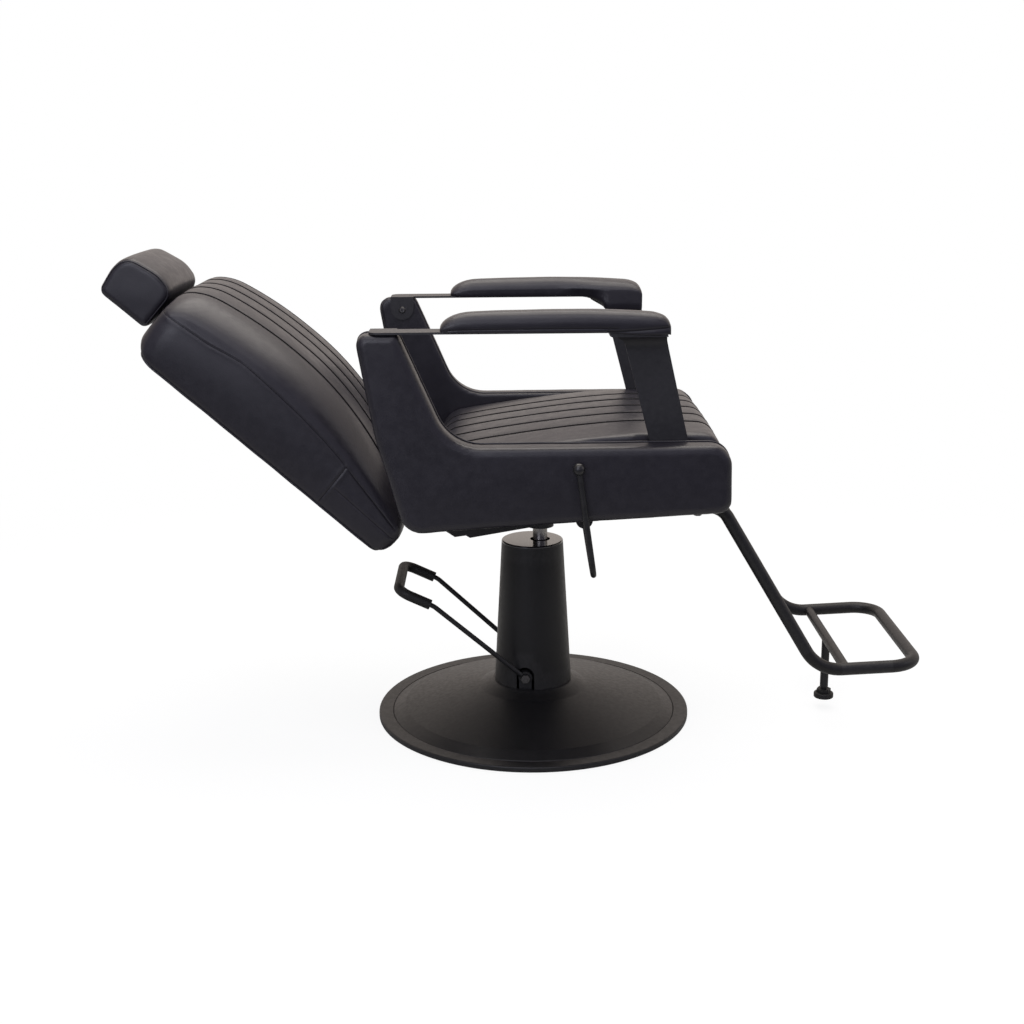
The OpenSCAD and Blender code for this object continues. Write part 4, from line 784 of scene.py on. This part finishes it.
def make_headrest():
    """The headrest pad with piping round both ends."""
    # How far the outline is drawn in at each y, towards one end
    ends = [(-131, 12), (-130.6, 9), (-129.4, 6), (-127, 3.6), (-122, 1.4), (-114, 0.4)]
    rings = ends + [(y, 0) for y in np.linspace(-98, 98, 24)] + [(-y, d) for y, d in ends[::-1]]
    made = []
    for y, d in rings:
        crown = 4 * (1 - (y / HEAD_HALF) ** 2)
        line = head_outline(d + 0.6)
        lift = np.clip((line[:, 0] - HEAD_X - 20) / 60, 0, 1) * crown
        made.append(in_back([(t + e, y * 0.99, s) for (t, s), e in zip(line, lift)]))
    edges = [in_back([(t, side * (HEAD_HALF - 3), s) for t, s in head_outline(3.0)])
             for side in (-1, 1)]

    tree = upholster("headrest_cover", made, "headrest", ["headrest_pad"], 2.5, voxel=4.5,
                     levels=2, hold=lambda co: kept_ahead(co, HEAD_X - 5.0),
                     seams=[(np.vstack([e, e[:1]]), 1.6, 2.2) for e in edges], wave=0.3, seed=7)
    cords("headrest_piping", tree, [(e, -0.4) for e in edges], "headrest", 1.6, VINYL, True)


# ------------------------------------------------------------------ side panels

def panel_outline():
    """Outline of a side panel [x, z]."""
    return evenly(rounded([(-240, 470.5, 40), (362.5, 506, 24), (360.5, 635, 40), (-154, 635, 88),
                           (-247, 842.5, 5), (-326, 842.5, 20), (-292, 650, 300)], 14), 6, True)


def make_panel(side, name, node_name):
    """A side panel's cover, with a seam and piping; side is -1 on the sitter's right."""
    inner_r, outer_r = 5, 13
    outline = panel_outline()
    layers = [(PANEL_IN + 0.2 + inner_r * (1 - math.cos(a)), inner_r * (1 - math.sin(a)))
              for a in np.linspace(0, math.pi / 2, 5)]
    layers += [(y, 0.0) for y in np.linspace(PANEL_IN + 9, PANEL_OUT - 14, 7)]
    layers += [(PANEL_OUT - outer_r + outer_r * math.sin(a), outer_r * (1 - math.cos(a)))
               for a in np.linspace(0.15, math.pi / 2, 8)]
    rings = [[(x, side * y, z) for x, z in inset(outline, d + 0.3)] for y, d in layers]
    seam_y = PANEL_IN + 13
    seam = np.array([(x, side * seam_y, z) for x, z in outline])
    rim = [(x, side * (seam_y - 5.0), z) for x, z in outline]

    def hold(co):
        y = co[:, 1] * side
        co[:, 1] = side * np.clip(y, PANEL_IN + 0.2, PANEL_OUT + 4)
        # The top stays flat under the arm bar
        under = (co[:, 0] < -235) & (co[:, 2] > 820)
        co[under, 2] = np.minimum(co[under, 2], BAR_Z - 0.3)
        return co

    tree = upholster(name, rings, "seat", [node_name], 3.0, voxel=6.0, hold=hold,
                     seams=[(np.vstack([seam, seam[:1]]), 2.4, 2.4)], wave=0.25,
                     seed=11 if side < 0 else 13)
    # Dark cord in the seam groove: painted shade of the groove; the piping is the cover's vinyl
    cords(name + "_seam", tree, [(seam, -1.7)], "seat", 1.0, SEAM_SHADE, True)
    cords(name + "_piping", tree, [(rim, 0.3)], "seat", 1.9, VINYL, True)


# ------------------------------------------------------------------ arm pads

def flap_at(x):
    """How much of the inner flap, which covers the stanchion's bend, there is at x: from 0 to 1."""
    start, full = PAD_FRONT - 150, PAD_FRONT - 80
    part = min(1, max(0, (x - start) / (full - start)))
    return 1 - math.sqrt(1 - part * part)


def pad_section(x):
    """Section of the right arm's pad [y, z].

    It wraps round the bar, and at the front round the stanchion's bend. Its third point from the
    end is on the outer side, at the seam.
    """
    end_rise = round_rise(min(1, (x - PAD_REAR) / 60))
    end_fall = round_rise(min(1, (PAD_FRONT - x) / 33))
    slope = 3 * ((x - 60) / 200) ** 2 if x < 60 else 8.5 * ((x - 60) / 180) ** 2
    rise = 6 + (PAD_H - 6) * min(end_rise, end_fall) - slope * min(1, (PAD_FRONT + 8 - x) / 30)
    half = PAD_W / 2 - 8 * (1 - round_rise(min(1, (x - PAD_REAR) / 30))) - 6 * (1 - end_fall)
    k = flap_at(x)
    mid = PANEL_OUT - BAR_W / 2
    out, in_y, z0, low = -mid - half, -mid + half, PAD_Z, PAD_Z - 33
    wrap = eased_step(x, PAD_REAR + 2, PAD_REAR + 22)
    base = PAD_Z - wrap * (PAD_Z - BAR_Z - 0.3)
    lip = base - PAD_LIP * eased_step(x, 120, 205)
    base -= PAD_LIP * eased_step(x, 233, 238.5)
    y_flap = PANEL_IN - 16
    bend_y, bend_z, r = -(PANEL_IN + 30), BAR_Z - 38, 39.2
    edge = min(-PANEL_OUT + BAR_W + 0.3, in_y - 3)
    wall = min(out + 5.4, -PANEL_OUT + 1.6)
    pts = [(out + 2.5, lip - 0.3), (wall, lip), (wall + 0.2, base), ((out + edge) / 2, base),
           (edge, base)]
    for i in range(1, 4):
        a = math.radians(60 - 15 * i)
        p = (bend_y + r * math.cos(a), bend_z + r * math.sin(a))
        pts.append((edge + k * (p[0] - edge) + (1 - k) * 0.5 * i,
                    base + k * (p[1] - base) + (1 - k) * 0.1 * i * i))
    shift = (-y_flap - in_y) * eased_step(x, 60, 172)
    # Up the inner side, over the top and down the outer side
    pts += [(in_y - 1 + k * shift, base + k * (low - base) + (1 - k) * 1.3),
            (in_y + shift * k ** 0.4 + 2 * k,
             base + rise * 0.2 + k * (low + 14 - rise * 0.2 - base)),
            (in_y + shift, z0 + rise * 0.40), (in_y - 3.5 + shift * 0.96, z0 + rise * 0.62),
            (in_y - 9 + shift * 0.86, z0 + rise * 0.81),
            (in_y - 17 + shift * 0.6, z0 + rise * 0.94),
            (-mid + 4, z0 + rise), (-mid - 8, z0 + rise * 0.99), (out + 12, z0 + rise * 0.93),
            (out + 6, z0 + rise * 0.8), (out + 2, z0 + rise * 0.62), (out, z0 + rise * 0.42),
            (out, z0 + rise * 0.15), (out, (z0 + lip) / 2), (out + 0.4, lip + 1.6)]
    return pts


def make_arm_pad(side, name, node_name):
    """An arm pad with a seam along its outer side, and a fold there that rises to the front."""
    fold_x, fold_z = 128, 843.5
    nose = np.array([88, 81, 74, 66, 58, 50, 42, 34, 27, 20, 14, 9, 6, 3, 1.2, 0.3])
    xs = np.concatenate([PAD_REAR + np.array([1, 2.5, 5, 8, 12, 18, 26, 36, 48]),
                         np.linspace(-105, 150, 34), PAD_FRONT - nose])
    rings = [[(x, -side * y, z) for y, z in pad_section(x)] for x in xs]
    outer = [(x, *pad_section(x)[-3]) for x in np.linspace(PAD_REAR + 8, 150, 50)]
    low_seam = [(x, -side * y, z - 0.5) for x, y, z in outer]
    fold = [(x, -side * (pad_section(x)[-3][0] - 0.5), fold_z + 7.5 * ((x - fold_x) / 112) ** 1.3)
            for x in np.linspace(fold_x, PAD_FRONT - 3, 24)]

    tree = upholster(name, rings, "seat", [node_name], 1.6, voxel=3.0,
                     seams=[(low_seam, 1.0, 1.8), (fold, 2.2, 2.4)], wave=0.15, seed=17)
    # Dark cords in the seam and fold grooves: painted shade of the grooves
    cords(name + "_seams", tree, [(low_seam, -0.7), (fold, -1.5)], "seat", 0.8)


# ------------------------------------------------------------------ stage, light and camera

def make_floor():
    """A floor: nearly white with a shadow to the camera, and pale paint to other rays."""
    size, depth = 14.0, -0.0004
    corners = [(-size, -size), (size, -size), (size, size), (-size, size)]
    floor_mesh = bpy.data.meshes.new("studio_floor")
    floor_mesh.from_pydata([(x, y, depth) for x, y in corners], [], [(0, 1, 2, 3)])
    floor = bpy.data.objects.new("studio_floor", floor_mesh)
    SCENE.collection.objects.link(floor)
    made = bpy.data.materials.new("studio_floor")
    made.use_nodes = True
    tree = made.node_tree
    tree.nodes.clear()
    place = node(tree, "NewGeometry").outputs["Position"]
    span = node(tree, "VectorMath", {0: place}, operation="LENGTH").outputs["Value"]
    near = spread(tree, span, 0.9, 2.6, 1.0, 0.0)
    seen = node(tree, "LightPath").outputs["Is Camera Ray"]
    along = node(tree, "SeparateXYZ", {0: place}).outputs[1]
    shade = mixed(tree, spread(tree, along, -2.4, -0.2), FLOOR_FAR, FLOOR_NEAR)
    paint = node(tree, "BsdfDiffuse", {"Color": shade})
    light = node(tree, "BsdfDiffuse", {"Color": (0.14, 0.14, 0.14, 1)})
    glow = node(tree, "Emission", {"Color": WHITE, "Strength": 0.885})
    white = node(tree, "Emission", {"Color": WHITE, "Strength": 1.0})
    close = node(tree, "AddShader", {0: light.outputs[0], 1: glow.outputs[0]})
    view = node(tree, "MixShader", {0: near, 1: white.outputs[0], 2: close.outputs[0]})
    both = node(tree, "MixShader", {0: seen, 1: paint.outputs[0], 2: view.outputs[0]})
    node(tree, "OutputMaterial", {"Surface": both.outputs[0]}, is_active_output=True)
    floor_mesh.materials.append(made)


def make_world():
    """White to the camera, soft light on the part, and in its gloss a room, darker in front."""
    world = bpy.data.worlds.new("studio")
    SCENE.world = world
    world.use_nodes = True
    tree = world.node_tree
    tree.nodes.clear()
    path = node(tree, "LightPath")
    seen = node(tree, "Math",
                {0: path.outputs["Is Camera Ray"], 1: path.outputs["Is Transmission Ray"]},
                operation="MAXIMUM")
    towards = node(tree, "SeparateXYZ", {0: node(tree, "TexCoord").outputs["Generated"]})
    rear = spread(tree, towards.outputs[1], -0.5, 0.35)
    studio = mixed(tree, rear, ROOM_FRONT, ROOM_REAR)
    dim = node(tree, "Background", {"Color": (0.93, 0.95, 1.0, 1), "Strength": 0.42})
    gloss = node(tree, "Background", {"Color": studio, "Strength": 1.0})
    white = node(tree, "Background", {"Color": WHITE, "Strength": 1.0})
    lit = node(tree, "MixShader",
               {0: path.outputs["Is Glossy Ray"], 1: dim.outputs[0], 2: gloss.outputs[0]})
    both = node(tree, "MixShader", {0: seen.outputs[0], 1: lit.outputs[0], 2: white.outputs[0]})
    node(tree, "OutputWorld", {"Surface": both.outputs[0]})


def area_light(name, place, aim, size, power, tint):
    """A soft box at place that faces aim."""
    data = bpy.data.lights.new(name, "AREA")
    data.shape = "RECTANGLE"
    data.size, data.size_y = size
    data.energy = power
    data.color = tint
    lamp = bpy.data.objects.new(name, data)
    SCENE.collection.objects.link(lamp)
    lamp.location = place
    lamp.rotation_euler = (Vector(aim) - Vector(place)).to_track_quat("-Z", "Y").to_euler()


def make_camera():
    """The camera of the photograph."""
    pitch, yaw, roll = math.radians(PITCH_DOWN), math.radians(YAW), math.radians(ROLL)
    ahead = Vector((math.sin(yaw) * math.cos(pitch), math.cos(yaw) * math.cos(pitch),
                    -math.sin(pitch)))
    right = Vector((math.cos(yaw), -math.sin(yaw), 0))
    up = right.cross(ahead)
    across = right * math.cos(roll) + up * math.sin(roll)
    high = up * math.cos(roll) - right * math.sin(roll)
    data = bpy.data.cameras.new("camera")
    data.sensor_width = SENSOR_MM
    data.lens = FOCAL_PX * SENSOR_MM / PHOTO_PX
    data.clip_end = 100
    cam = bpy.data.objects.new("camera", data)
    SCENE.collection.objects.link(cam)
    turn = Matrix((across, high, -ahead)).transposed().to_4x4()
    turn.translation = CAMERA_AT
    cam.matrix_world = turn
    SCENE.camera = cam


dress_nodes()
make_seat()
make_back()
make_headrest()
make_panel(-1, "side_panel_right_cover", "side_panel_right")
make_panel(1, "side_panel_left_cover", "side_panel_left")
make_arm_pad(-1, "arm_pad_right_cover", "arm_pad_right")
make_arm_pad(1, "arm_pad_left_cover", "arm_pad_left")
make_floor()
make_world()
for lamp in LIGHTS:
    area_light(*lamp)
make_camera()
SCENE.view_settings.view_transform = "Standard"
